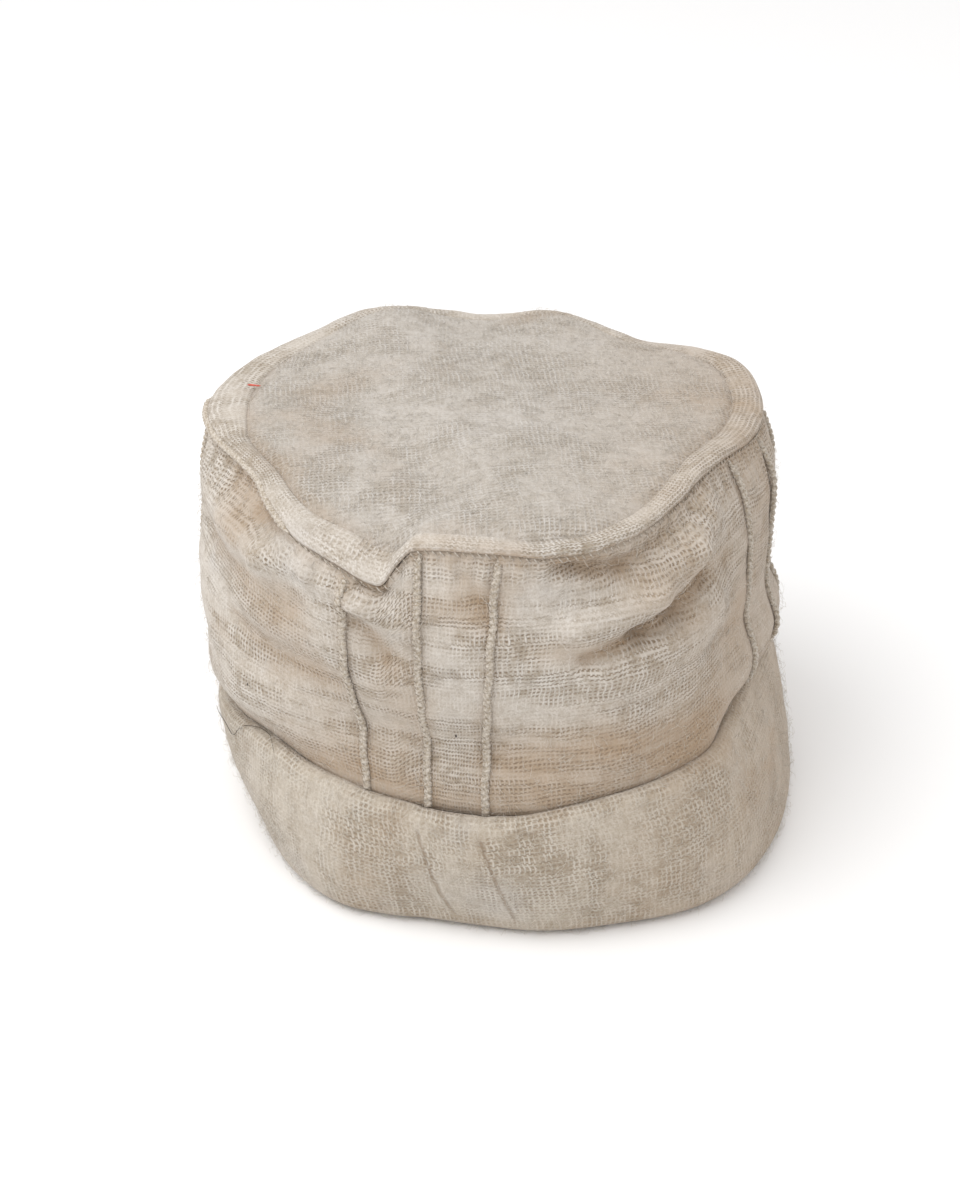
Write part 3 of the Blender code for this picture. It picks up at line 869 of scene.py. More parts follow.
@dataclass(frozen=True)
class WoolThread:
    """Twisted sewing yarn and loose fibres."""

    name: str
    lit: tuple[float, float, float, float] = (0.590, 0.540, 0.475, 1.0)
    shaded: tuple[float, float, float, float] = (0.330, 0.270, 0.200, 1.0)

    def build(self) -> bpy.types.Material:
        """Makes the material on Object coordinates."""
        graph = Graph(self.name)
        place = graph.node("ShaderNodeTexCoord", {}, {}, "Object")
        grain = graph.noise(place, 1300.0, 2.0, (1.0, 1.0, 1.0))
        graph.feed(graph.shader.inputs["Base Color"], graph.blend(grain.step(0.3, 0.7), self.shaded, self.lit))
        bump = graph.node("ShaderNodeBump", {}, {"Strength": 0.4, "Distance": 0.0002, "Height": grain})
        graph.feed(graph.shader.inputs["Normal"], bump)
        graph.feed(graph.shader.inputs["Roughness"], 0.95)
        graph.feed(graph.shader.inputs["Specular IOR Level"], 0.15)
        graph.feed(graph.shader.inputs["Sheen Weight"], 0.25)
        return graph.material


def clear_selection() -> None:
    """Leaves nothing selected."""
    bpy.ops.object.select_all(action="DESELECT")


def choose(piece: bpy.types.Object) -> None:
    """Selects one object alone and makes it active."""
    clear_selection()
    piece.select_set(True)
    bpy.context.view_layer.objects.active = piece


@dataclass
class ClothGrid:
    """A rectangle of cloth that is modelled flat and laid onto the hat by moving its points."""

    name: str
    columns: int
    rows: int

    def __post_init__(self) -> None:
        """Adds the flat grid."""
        clear_selection()
        bpy.ops.mesh.primitive_grid_add(x_subdivisions=self.columns, y_subdivisions=self.rows, size=1.0)
        self.piece = bpy.context.active_object
        self.piece.name = self.name
        self.piece.data.name = self.name
        corners = np.empty(len(self.piece.data.vertices) * 3)
        self.piece.data.vertices.foreach_get("co", corners)
        corners = corners.reshape(-1, 3)
        self.column = np.rint((corners[:, 0] + 0.5) * self.columns).astype(int)
        self.row = np.rint((corners[:, 1] + 0.5) * self.rows).astype(int)

    def across(self) -> np.ndarray:
        """Gives each column's share of the way round, for a table of rows by columns."""
        return np.tile(np.linspace(0, 1, self.columns + 1), (self.rows + 1, 1))

    def up(self) -> np.ndarray:
        """Gives each row's share of the way along, for a table of rows by columns."""
        return np.tile(np.linspace(0, 1, self.rows + 1)[:, None], (1, self.columns + 1))

    def lay(self, points: np.ndarray, flat: np.ndarray) -> None:
        """Moves the grid's points and sets its UV map.

        Args:
            points: Where each row and column goes, in metres.
            flat: Each one's place on the cloth before it was sewn, in metres.
        """
        mesh = self.piece.data
        mesh.vertices.foreach_set("co", points[self.row, self.column].reshape(-1))
        spread = flat[self.row, self.column]
        corner_points = np.empty(len(mesh.loops), dtype=int)
        mesh.loops.foreach_get("vertex_index", corner_points)
        mesh.uv_layers.active.data.foreach_set("uv", spread[corner_points].reshape(-1))
        mesh.uv_layers.active.name = "UVMap"
        mesh.update()

    def tint(self, hollow: np.ndarray) -> None:
        """Marks the painted shade and tan of each row and column, from 0 to 1, for the cloth's finish."""
        mark = self.piece.data.attributes.new("hollow", "FLOAT", "POINT")
        mark.data.foreach_set("value", np.clip(hollow, 0.0, 1.0)[self.row, self.column])

    def sew(self, distance: float) -> None:
        """Merges the points that meet at the seam, and turns the faces outwards."""
        choose(self.piece)
        bpy.ops.object.mode_set(mode="EDIT")
        bpy.ops.mesh.select_all(action="SELECT")
        bpy.ops.mesh.remove_doubles(threshold=distance)
        bpy.ops.mesh.normals_make_consistent(inside=False)
        bpy.ops.object.mode_set(mode="OBJECT")

    def thicken(self, thickness: float) -> None:
        """Gives the cloth its thickness, half to each side."""
        choose(self.piece)
        wall = self.piece.modifiers.new("thickness", "SOLIDIFY")
        wall.thickness = thickness
        wall.offset = 0.0
        wall.use_even_offset = False
        wall.use_rim = True
        bpy.ops.object.modifier_apply(modifier=wall.name)

    def finish(self, material: bpy.types.Material) -> bpy.types.Object:
        """Shades the piece smooth and gives it its material."""
        choose(self.piece)
        bpy.ops.object.shade_smooth()
        self.piece.data.materials.clear()
        self.piece.data.materials.append(material)
        return self.piece


def run_lengths(points: np.ndarray) -> np.ndarray:
    """Measures how far each row lies along the cloth, as the mean over its columns."""
    steps = np.linalg.norm(np.diff(points, axis=0), axis=-1).mean(axis=1)
    return np.concatenate([[0.0], np.cumsum(steps)])


def wrap_map(grid: ClothGrid, points: np.ndarray, pitch: float) -> np.ndarray:
    """Lays out a UV map for a cloth that runs round the hat, with a whole number of yarns.

    Args:
        grid: The cloth.
        points: Its points, rows by columns.
        pitch: The warp's pitch in metres.

    Returns:
        The map, rows by columns, in metres.
    """
    girth = np.linalg.norm(np.diff(points, axis=1), axis=-1).sum(axis=1).mean()
    length = round(girth / pitch) * pitch
    runs = np.tile(run_lengths(points)[:, None], (1, grid.columns + 1))
    return np.stack([grid.across() * length, runs], axis=-1)


@dataclass
class SideWall:
    """The side cloth between the crown and the bottom fold."""

    form: HatForm
    columns: int = 400
    rows: int = 92
    hidden_rows: float = 0.12
    hidden_level: float = 0.30
    ripple: float = 0.0008
    slack: float = 0.0012
    pinch_depth: float = 0.0005
    pinch_width: float = 0.0034
    pucker_depth: float = 0.0005
    pucker_count: int = 96
    grain_drift: float = 0.022
    finish: WovenWool = field(default_factory=lambda: WovenWool("wall_wool", Weave.BANDED))

    def relief(self, bearing: np.ndarray, level: np.ndarray) -> np.ndarray:
        """Works out the small unevenness that lies on the wall's folds.

        Args:
            bearing: Each thread's bearing at the top.
            level: Share of the way up.

        Returns:
            The way out at each place, in metres.
        """
        bare = self.form.wall_point(bearing, level, 0.0)
        free = smoothstep(0.34, 0.46, level) * (1 - smoothstep(0.92, 0.99, level))
        out = self.slack * soft_noise(bare, 0.030, 3.1) + self.ripple * soft_noise(bare, 0.011, 7.7)
        for tuck in TUCKS:
            apart = np.radians((bearing - tuck.bearing + 180) % 360 - 180) * self.form.crown_radius
            out = out - self.pinch_depth * np.exp(-((apart / self.pinch_width) ** 2))
        pucker = np.cos(np.radians(bearing) * self.pucker_count + 1.7 * np.sin(np.radians(bearing) * 9))
        near_seam = smoothstep(0.86, 0.95, level) * (1 - smoothstep(0.985, 1.0, level))
        return out * free + self.pucker_depth * pucker * near_seam

    def painted_shade_and_tan(self, bearing: np.ndarray, level: np.ndarray) -> np.ndarray:
        """Works out where the wall's cloth is painted tan: painted shade just above the cuff, under the welt, low in
        its folds and by its tucks, and the listed tan places.
        """
        form = self.form
        turned = form.wall_turn(bearing, level)
        _, top = form.wall_top(bearing)
        height = form.fold_top() + (top - form.fold_top()) * level
        share = height / form.hat_height
        _, edge = form.cuff_edge(turned)
        # Painted shade in the crevice just above the cuff's top.
        found = 0.75 * (1 - smoothstep(edge + 0.001, edge + 0.014, height))
        # Painted shade just under the welt.
        found = found + 0.45 * smoothstep(top - 0.006, top - 0.001, height)
        # Painted shade low in the fold valleys.
        found = found + np.clip(-form.fold_relief(WALL_FOLDS, turned, share) / 0.004, 0.0, 0.8)
        # Painted shade in the pinches beside the tucks.
        for tuck in TUCKS:
            apart = np.radians((bearing - tuck.bearing + 180) % 360 - 180) * form.crown_radius
            found = found + 0.30 * np.exp(-((apart / 0.0032) ** 2))
        # The listed tan places.
        for spot in WALL_TAN_PLACES:
            aside = ((turned - spot.bearing + 180) % 360 - 180) / spot.wide
            found = found + spot.depth * np.exp(-(aside**2) - ((share - spot.level) / spot.high) ** 2)
        return found

    def build(self) -> bpy.types.Object:
        """Models the wall, dresses it and keeps the size of its cloth."""
        grid = ClothGrid("wall_cloth", self.columns, self.rows)
        bearing = grid.across() * FULL_TURN - FULL_TURN / 2
        level = np.interp(grid.up(), (0.0, self.hidden_rows, 1.0), (0.0, self.hidden_level, 1.0))
        points = self.form.wall_point(bearing, level, self.relief(bearing, level))
        flat = wrap_map(grid, points, self.finish.warp_pitch)
        drift = np.interp(bearing, (-180.0, 2.4, 67.5, 180.0), (0.0, 0.0, self.grain_drift, 0.0))
        flat[..., 1] -= drift * (1 - 0.6 * level)
        grid.lay(points, flat)
        grid.tint(self.painted_shade_and_tan(bearing, level))
        grid.sew(1e-5)
        grid.thicken(self.form.cloth)
        self.cut = tuple(float(length) for length in flat[-1, -1])
        return grid.finish(self.finish.build())


@dataclass
class Cuff:
    """The turned-up lower part of the side cloth, rolled over and hemmed at its top."""

    form: HatForm
    columns: int = 400
    rows: int = 92
    slack: float = 0.0014
    ripple: float = 0.0006
    trace_rise: float = 0.0008
    trace_width: float = 0.0018
    traces: tuple[tuple[float, float], ...] = ((-18.5, 5.0), (-6.5, 5.0))
    outer_knot: int = 17
    roll_knot: int = 34
    finish: WovenWool = field(
        default_factory=lambda: WovenWool(
            "cuff_wool",
            Weave.RIBBED,
            warp_pitch=0.00168,
            weft_pitch=0.00165,
            lit=(0.595, 0.545, 0.475, 1.0),
            shaded=(0.315, 0.252, 0.180, 1.0),
            hole_depth=0.60,
        )
    )

    def show_through(self, bearing: np.ndarray, height: np.ndarray) -> np.ndarray:
        """Works out how the folded-in tucks press through the cuff.

        Args:
            bearing: The bearings, in degrees.
            height: The heights, in metres.

        Returns:
            The way out at each place, in metres.
        """
        rise = 0 * height
        for top_bearing, turn in self.traces:
            line = top_bearing + turn * (1 - height / self.form.cuff_height)
            apart = np.radians((bearing - line + 180) % 360 - 180) * self.form.foot_radius
            rise = rise + self.trace_rise * np.exp(-((apart / self.trace_width) ** 2))
        return rise

    def build(self) -> bpy.types.Object:
        """Models the cuff, dresses it and keeps the size of its cloth."""
        grid = ClothGrid("cuff_cloth", self.columns, self.rows)
        bearing = (grid.across() * FULL_TURN - FULL_TURN / 2)[0]
        line = self.form.cuff_line(bearing)
        steps = np.linalg.norm(np.diff(line, axis=0), axis=-1).mean(axis=1)
        runs = np.concatenate([[0.0], np.cumsum(steps)])
        at = np.linspace(0, runs[-1], self.rows + 1)
        knots = np.tile(runs[:, None], (1, len(bearing)))
        reach = hermite(knots, line[..., 0], np.tile(at[:, None], (1, len(bearing))))
        height = hermite(knots, line[..., 1], np.tile(at[:, None], (1, len(bearing))))
        whole = np.tile(bearing, (self.rows + 1, 1))
        bare = self.form.place(whole, reach, height)
        outer = runs[self.outer_knot]
        free = smoothstep(outer, outer + 0.012, at)[:, None]
        out = self.slack * soft_noise(bare, 0.034, 11.3) + self.ripple * soft_noise(bare, 0.012, 5.2)
        out = out + self.show_through(whole, height)
        inner_side = smoothstep(outer + 0.045, outer + 0.065, at)[:, None]
        out = out * free * (1 - inner_side)
        points = self.form.place(whole, reach + out, height)
        flat = wrap_map(grid, points, self.finish.warp_pitch)
        grid.lay(points, flat)
        # Painted shade on the cuff's rolled-in inner side and where it meets the floor.
        rolled_in = smoothstep(runs[self.roll_knot] + 0.006, runs[self.roll_knot] + 0.011, at)[:, None]
        near_floor = 0.35 * (1 - smoothstep(0.001, 0.010, height))
        grid.tint(0.8 * rolled_in + near_floor)
        grid.sew(1e-5)
        grid.thicken(self.form.cloth)
        self.cut = tuple(float(length) for length in flat[-1, -1])
        return grid.finish(replace(self.finish, creases=self.pressed_lines(runs)).build())

    def pressed_lines(self, runs: np.ndarray) -> tuple[tuple[float, float, float, float], ...]:
        """Finds on the UV map where the folded-in tucks mark the cuff.

        Args:
            runs: How far each knot of the cuff's section lies along the cloth.

        Returns:
            Each line's lower and upper end.
        """
        low, high = float(runs[self.outer_knot]), float(runs[self.roll_knot])
        shares = [((top + turn) / FULL_TURN + 0.5, top / FULL_TURN + 0.5) for top, turn in self.traces]
        return tuple((below * self.cut[0], low, above * self.cut[0], high) for below, above in shares)


@dataclass
class CrownPanel:
    """The round top cloth."""

    form: HatForm
    columns: int = 400
    rows: int = 60
    slack: float = 0.0012
    ripple: float = 0.0005
    crease_run: float = 0.0045
    crease_depth: float = 0.0014
    grain_turn: float = 4.0
    finish: WovenWool = field(
        default_factory=lambda: WovenWool(
            "crown_wool",
            Weave.EVEN,
            warp_pitch=0.00165,
            # The crown's colours are darker than the wall's: painted shade that holds the top down under the lamp's
            # stronger light from above.
            lit=(0.545, 0.512, 0.474, 1.0),
            shaded=(0.350, 0.304, 0.247, 1.0),
            hole_depth=0.50,
        )
    )

    def build(self) -> bpy.types.Object:
        """Models the crown cloth, dresses it and keeps the size of its cloth."""
        form = self.form
        grid = ClothGrid("crown_cloth", self.columns, self.rows)
        bearing = grid.across() * FULL_TURN - FULL_TURN / 2
        reach, _ = form.crown_edge(bearing)
        edge = form.welt_share(bearing)
        share = grid.up() ** 0.8 * edge
        points = form.crown_point(bearing, share)
        to_welt = (edge - share) * reach
        free = 1 - smoothstep(0.72, 0.97, grid.up())
        out = self.slack * soft_noise(points, 0.036, 21.3) + self.ripple * soft_noise(points, 0.012, 2.9)
        crease = self.crease_depth * around(WELT_LINE, "crease", bearing)
        points[..., 2] += out * (0.35 + 0.65 * free) + form.cloth / 2
        points[..., 2] -= (crease + form.cloth / 2) * (1 - smoothstep(0.0, self.crease_run, to_welt))
        turn = math.radians(self.grain_turn)
        level = points[..., :2] - points[0, 0, :2]
        flat = np.stack(
            [
                level[..., 0] * math.cos(turn) + level[..., 1] * math.sin(turn),
                level[..., 1] * math.cos(turn) - level[..., 0] * math.sin(turn),
            ],
            axis=-1,
        )
        grid.lay(points, flat)
        # Painted shade in the crease where the crown meets the welt.
        by_welt = 1 - smoothstep(0.0005, 0.0075, to_welt)
        grid.tint(0.6 * by_welt * np.clip(around(WELT_LINE, "crease", bearing), 0.0, 1.0))
        grid.sew(1e-5)
        grid.thicken(form.cloth)
        wide = [float(length) for length in flat[-1].max(axis=0) - flat[-1].min(axis=0)]
        self.cut = (wide[0], wide[1])
        return grid.finish(self.finish.build())


@dataclass
class CrownWelt:
    """The crown's turned edge, a soft padded band that overhangs the side wall."""

    form: HatForm
    columns: int = 620
    rows: int = 30
    lumps: float = 0.0005
    groove_width: float = 0.11
    groove_depth: float = 0.30
    finish: WovenWool = field(
        default_factory=lambda: WovenWool("welt_wool", Weave.EVEN, warp_pitch=0.00165, openness=0.03)
    )

    def section(self, turn: np.ndarray, groove: np.ndarray) -> tuple[np.ndarray, np.ndarray]:
        """Gives the band's section, inwards from the lip and up, in shares of its width and thickness.

        Args:
            turn: The way round the section, in radians.
            groove: How deep the groove along the band is, from 0 to 1.

        Returns:
            The way in and the way up.
        """
        along = 0.5 - 0.5 * np.cos(turn)
        top = np.sin(turn)
        rise = np.where(top > 0, 0.62 * np.abs(top) ** 0.75, -0.42 * np.abs(top) ** 0.8)
        dip = groove * self.groove_depth * np.exp(-(((along - 0.5) / self.groove_width) ** 2))
        return along * 1.14, rise * (1.0 - 0.25 * along) - np.where(top > 0, dip, 0.0)

    def build(self) -> bpy.types.Object:
        """Models the welt and dresses it."""
        form = self.form
        grid = ClothGrid("crown_band", self.columns, self.rows)
        bearing = grid.across() * FULL_TURN - FULL_TURN / 2
        lip = form.crown_point(bearing, np.ones_like(bearing))
        root = form.crown_point(bearing, form.welt_share(bearing))
        run = np.linalg.norm((root - lip)[..., :2], axis=-1)
        climb = (root - lip)[..., 2]
        length = np.hypot(run, climb)
        along, across = self.section(grid.up() * 2 * math.pi, around(WELT_LINE, "groove", bearing))
        inwards = along * run - across * form.welt_thickness * climb / length
        upwards = along * climb + across * form.welt_thickness * run / length
        level = lip[..., :2] + (root - lip)[..., :2] * (inwards / run)[..., None]
        points = np.concatenate([level, (lip[..., 2] + upwards)[..., None]], axis=-1)
        points[..., 2] += self.lumps * soft_noise(points, 0.009, 4.4)
        grid.lay(points, wrap_map(grid, points, self.finish.warp_pitch))
        # Painted shade on the welt's underside, under its overhang.
        grid.tint(0.6 * smoothstep(0.55, 0.75, grid.up()))
        grid.sew(1e-5)
        return grid.finish(self.finish.build())


@dataclass
class Tuck:
    """A sewn ridge of the side cloth, pinched between its whip stitches."""

    form: HatForm
    row: TuckRow
    number: int
    width: float = 0.0025
    rise: float = 0.0021
    pitch: float = 0.0025
    sides: int = 9
    rows: int = 260
    low_level: float = 0.24
    high_level: float = 0.992
    wobble: float = 0.14

    def middle_line(self, count: int) -> tuple[np.ndarray, np.ndarray, np.ndarray]:
        """Finds the ridge's foot line on the wall's outer face.

        Args:
            count: How many points.

        Returns:
            The points, the ways out of the wall and the ways across the ridge.
        """
        level = np.linspace(self.low_level, self.high_level, count)
        bearing = self.row.bearing + self.wobble * np.sin(level * 47.0 + self.number * 2.1)
        sunk = self.form.cloth / 2 - 0.0004
        lines = [self.form.wall_point(bearing + side, level, sunk) for side in (-0.6, 0.0, 0.6)]
        across = lines[2] - lines[0]
        across /= np.linalg.norm(across, axis=1)[:, None]
        down = np.gradient(lines[1], axis=0)
        down /= np.linalg.norm(down, axis=1)[:, None]
        out = np.cross(across, down)
        out /= np.linalg.norm(out, axis=1)[:, None]
        return lines[1], out, across

    def build(self, material: bpy.types.Material) -> bpy.types.Object:
        """Models the ridge."""
        grid = ClothGrid(f"tuck_{self.number}", self.sides, self.rows)
        line, out, across = self.middle_line(self.rows + 1)
        run = np.concatenate([[0.0], np.cumsum(np.linalg.norm(np.diff(line, axis=0), axis=1))])
        turn = grid.across() * 2 * math.pi
        uneven = 0.8 * np.sin(run[:, None] * 410.0 + self.number)
        slant = 2 * math.pi * run[:, None] / self.pitch - 1.1 * np.cos(turn) + uneven
        plump = 1 + 0.18 * np.cos(slant)
        ends = smoothstep(0.0, 0.006, run) * (1 - smoothstep(run[-1] - 0.004, run[-1], run))
        size = plump * (0.25 + 0.75 * ends[:, None])
        sideways = self.width / 2 * size * np.cos(turn)
        outwards = self.rise * size * (0.46 * np.sin(turn) + 0.34)
        points = line[:, None] + across[:, None] * sideways[..., None] + out[:, None] * outwards[..., None]
        grid.lay(points, np.stack([grid.across() * 0.008, np.tile(run[:, None], (1, self.sides + 1))], -1))
        grid.sew(1e-6)
        close_holes(grid.piece)
        return grid.finish(material)


@dataclass
class SeamRope(Tuck):
    """The narrow twisted ridge where the crown is sewn to the wall at the left."""

    first_bearing: float = -100.0
    last_bearing: float = -40.0

    def middle_line(self, count: int) -> tuple[np.ndarray, np.ndarray, np.ndarray]:
        """Finds the ridge's line along the crown's outer edge.

        Args:
            count: How many points.

        Returns:
            The points, the ways out and up, and the ways across the ridge.
        """
        bearing = np.linspace(self.first_bearing, self.last_bearing, count)
        turn = np.radians(bearing)
        radial = np.stack([np.sin(turn), -np.cos(turn), 0 * turn], -1)
        line = self.form.crown_point(bearing, np.ones_like(bearing)) + radial * 0.0003
        out = radial * 0.6 + np.array([0.0, 0.0, 0.8])
        along = np.gradient(line, axis=0)
        across = np.cross(out, along)
        across /= np.linalg.norm(across, axis=1)[:, None]
        return line, out, across


def close_holes(piece: bpy.types.Object) -> None:
    """Fills a tube's open ends and turns its faces outwards."""
    choose(piece)
    bpy.ops.object.mode_set(mode="EDIT")
    bpy.ops.mesh.select_all(action="DESELECT")
    bpy.ops.mesh.select_mode(type="EDGE")
    bpy.ops.mesh.select_non_manifold(extend=False)
    bpy.ops.mesh.fill()
    bpy.ops.mesh.select_all(action="SELECT")
    bpy.ops.mesh.normals_make_consistent(inside=False)
    bpy.ops.mesh.select_mode(type="VERT")
    bpy.ops.object.mode_set(mode="OBJECT")


@dataclass
class StrandField:
    """Many copies of one small modelled strand, joined in one mesh."""

    name: str
    steps: int
    sides: int

    def straight_strands(self, count: int) -> bpy.types.Object:
        """Models one straight strand along +Z by extruding a small ring, and repeats it in an array.

        Args:
            count: How many strands.

        Returns:
            The strands, each one metre long, all in one place.
        """
        clear_selection()
        bpy.ops.mesh.primitive_circle_add(vertices=self.sides, radius=0.5, fill_type="NGON")
        bpy.ops.object.mode_set(mode="EDIT")
        bpy.ops.mesh.select_all(action="SELECT")
        for _ in range(self.steps):
            bpy.ops.mesh.extrude_region_move(TRANSFORM_OT_translate={"value": (0, 0, 1 / self.steps)})
        bpy.ops.mesh.select_all(action="SELECT")
        bpy.ops.mesh.normals_make_consistent(inside=False)
        bpy.ops.object.mode_set(mode="OBJECT")
        strands = bpy.context.active_object
        strands.name = self.name
        strands.data.name = self.name
        choose(strands)
        copies = strands.modifiers.new("copies", "ARRAY")
        copies.count = count
        copies.use_relative_offset = False
        bpy.ops.object.modifier_apply(modifier=copies.name)
        return strands

    def build(self, lines: np.ndarray, thickness: np.ndarray, material: bpy.types.Material) -> bpy.types.Object:
        """Bends a copy of the strand along each line.

        Args:
            lines: The lines, (strand, point, xyz), with steps + 1 points each.
            thickness: Each strand's thickness.
            material: Its finish.

        Returns:
            The joined piece.
        """
        strands = self.straight_strands(len(lines))
        points = np.empty(len(strands.data.vertices) * 3)
        strands.data.vertices.foreach_get("co", points)
        points = points.reshape(len(lines), -1, 3)[0]
        order = np.rint(points[:, 2] * self.steps).astype(int)
        ahead = np.gradient(lines, axis=1)
        ahead /= np.linalg.norm(ahead, axis=-1)[..., None] + 1e-12
        aside = np.cross(ahead, np.array([0.31, 0.52, 0.79]))
        aside /= np.linalg.norm(aside, axis=-1)[..., None] + 1e-12
        above = np.cross(ahead, aside)
        taper = np.interp(np.linspace(0, 1, self.steps + 1), (0.0, 0.15, 0.8, 1.0), (0.5, 1.0, 0.9, 0.3))
        size = thickness[:, None] * taper[None, order]
        made = lines[:, order] + aside[:, order] * (points[:, 0] * size)[..., None]
        made = made + above[:, order] * (points[:, 1] * size)[..., None]
        strands.data.vertices.foreach_set("co", made.reshape(-1))
        strands.data.update()
        strands.data.materials.append(material)
        choose(strands)
        bpy.ops.object.shade_smooth()
        return strands


@dataclass
class Stitching:
    """Whip stitches over the tucks and over the seam between the crown and the wall."""

    form: HatForm
    tucks: list[Tuck]
    thickness: float = 0.00046
    steps: int = 6

    def over_tucks(self) -> np.ndarray:
        """Lays a slanted loop over each tuck at every pinch."""
        lines = []
        for tuck in self.tucks:
            line, out, across = tuck.middle_line(tuck.rows + 1)
            run = np.concatenate([[0.0], np.cumsum(np.linalg.norm(np.diff(line, axis=0), axis=1))])
            for place in np.arange(0.004, run[-1] - 0.003, tuck.pitch):
                turn = np.linspace(-0.35, math.pi + 0.35, self.steps + 1)
                at = place + tuck.pitch * (0.5 - 0.32 * np.cos(turn))
                index = np.clip(np.searchsorted(run, at), 0, len(run) - 1)
                sideways = tuck.width * 0.56 * np.cos(turn)
                outwards = tuck.rise * (0.46 * np.sin(turn) + 0.36)
                lines.append(line[index] + across[index] * sideways[:, None] + out[index] * outwards[:, None])
        return np.array(lines)

    def over_seam(self) -> np.ndarray:
        """Lays a short slanted loop across the seam under the welt at every few millimetres."""
        form = self.form
        bearing = np.linspace(-180, 180, 250, endpoint=False)
        lip = form.crown_point(bearing, np.ones_like(bearing)) - np.array([0.0, 0.0, 0.0006])
        reach, height = form.wall_top(bearing)
        low = form.place(bearing + 0.9, reach + form.cloth * 0.45, height - 0.0022)
        lines = []
        for share in np.linspace(0, 1, self.steps + 1):
            bow = 0.0003 * math.sin(math.pi * share)
            point = lip * (1 - share) + low * share
            turn = np.radians(bearing)
            point = point + np.stack([bow * np.sin(turn), -bow * np.cos(turn), 0 * turn], -1)
            lines.append(point)
        return np.array(lines).transpose(1, 0, 2)

    def build(self, material: bpy.types.Material) -> list[bpy.types.Object]:
        """Models both rows of stitches."""
        made = []
        for name, lines in (("tuck_stitches", self.over_tucks()), ("seam_stitches", self.over_seam())):
            field_of = StrandField(name, self.steps, 4)
            made.append(field_of.build(lines, np.full(len(lines), self.thickness), material))
        return made


@dataclass
class Fuzz:
    """Loose fibres that stand off a cloth."""

    count: int = 8600
    length: tuple[float, float] = (0.0015, 0.0050)
    thickness: float = 0.00012
    steps: int = 2
    floor: float = 0.0003
    seed: int = 5

    def build(self, cloth: bpy.types.Object, material: bpy.types.Material) -> bpy.types.Object:
        """Scatters fibres on a cloth's faces.

        Args:
            cloth: The piece that the fibres grow from.
            material: Their finish.

        Returns:
            The fibres, joined.
        """
        chance = np.random.default_rng(self.seed)
        mesh = cloth.data
        middles = np.empty(len(mesh.polygons) * 3)
        normals = np.empty(len(mesh.polygons) * 3)
        areas = np.empty(len(mesh.polygons))
        mesh.polygons.foreach_get("center", middles)
        mesh.polygons.foreach_get("normal", normals)
        mesh.polygons.foreach_get("area", areas)
        middles, normals = middles.reshape(-1, 3), normals.reshape(-1, 3)
        outer = np.where((normals * (middles - np.array([0, 0, 0.05]))).sum(axis=1) > 0, areas, 0.0)
        picked = chance.choice(len(middles), self.count, p=outer / outer.sum())
        root, normal = middles[picked], normals[picked]
        ahead = chance.normal(size=(self.count, 3))
        ahead -= normal * (ahead * normal).sum(axis=1)[:, None]
        ahead /= np.linalg.norm(ahead, axis=1)[:, None]
        curl = np.cross(normal, ahead) * chance.normal(0, 0.8, (self.count, 1))
        length = chance.uniform(*self.length, (self.count, 1))
        lift = chance.uniform(0.1, 0.75, (self.count, 1)) ** 1.3
        lines = []
        for share in np.linspace(0, 1, self.steps + 1):
            step = root + ahead * length * share + curl * length * share**2 * 0.6
            lines.append(step + normal * length * lift * math.sin(math.pi * share * 0.7))
        bent = np.array(lines).transpose(1, 0, 2)
        bent[..., 2] = np.maximum(bent[..., 2], self.floor)
        strands = StrandField(cloth.name.replace("cloth", "fuzz"), self.steps, 3)
        return strands.build(bent, np.full(self.count, self.thickness), material)


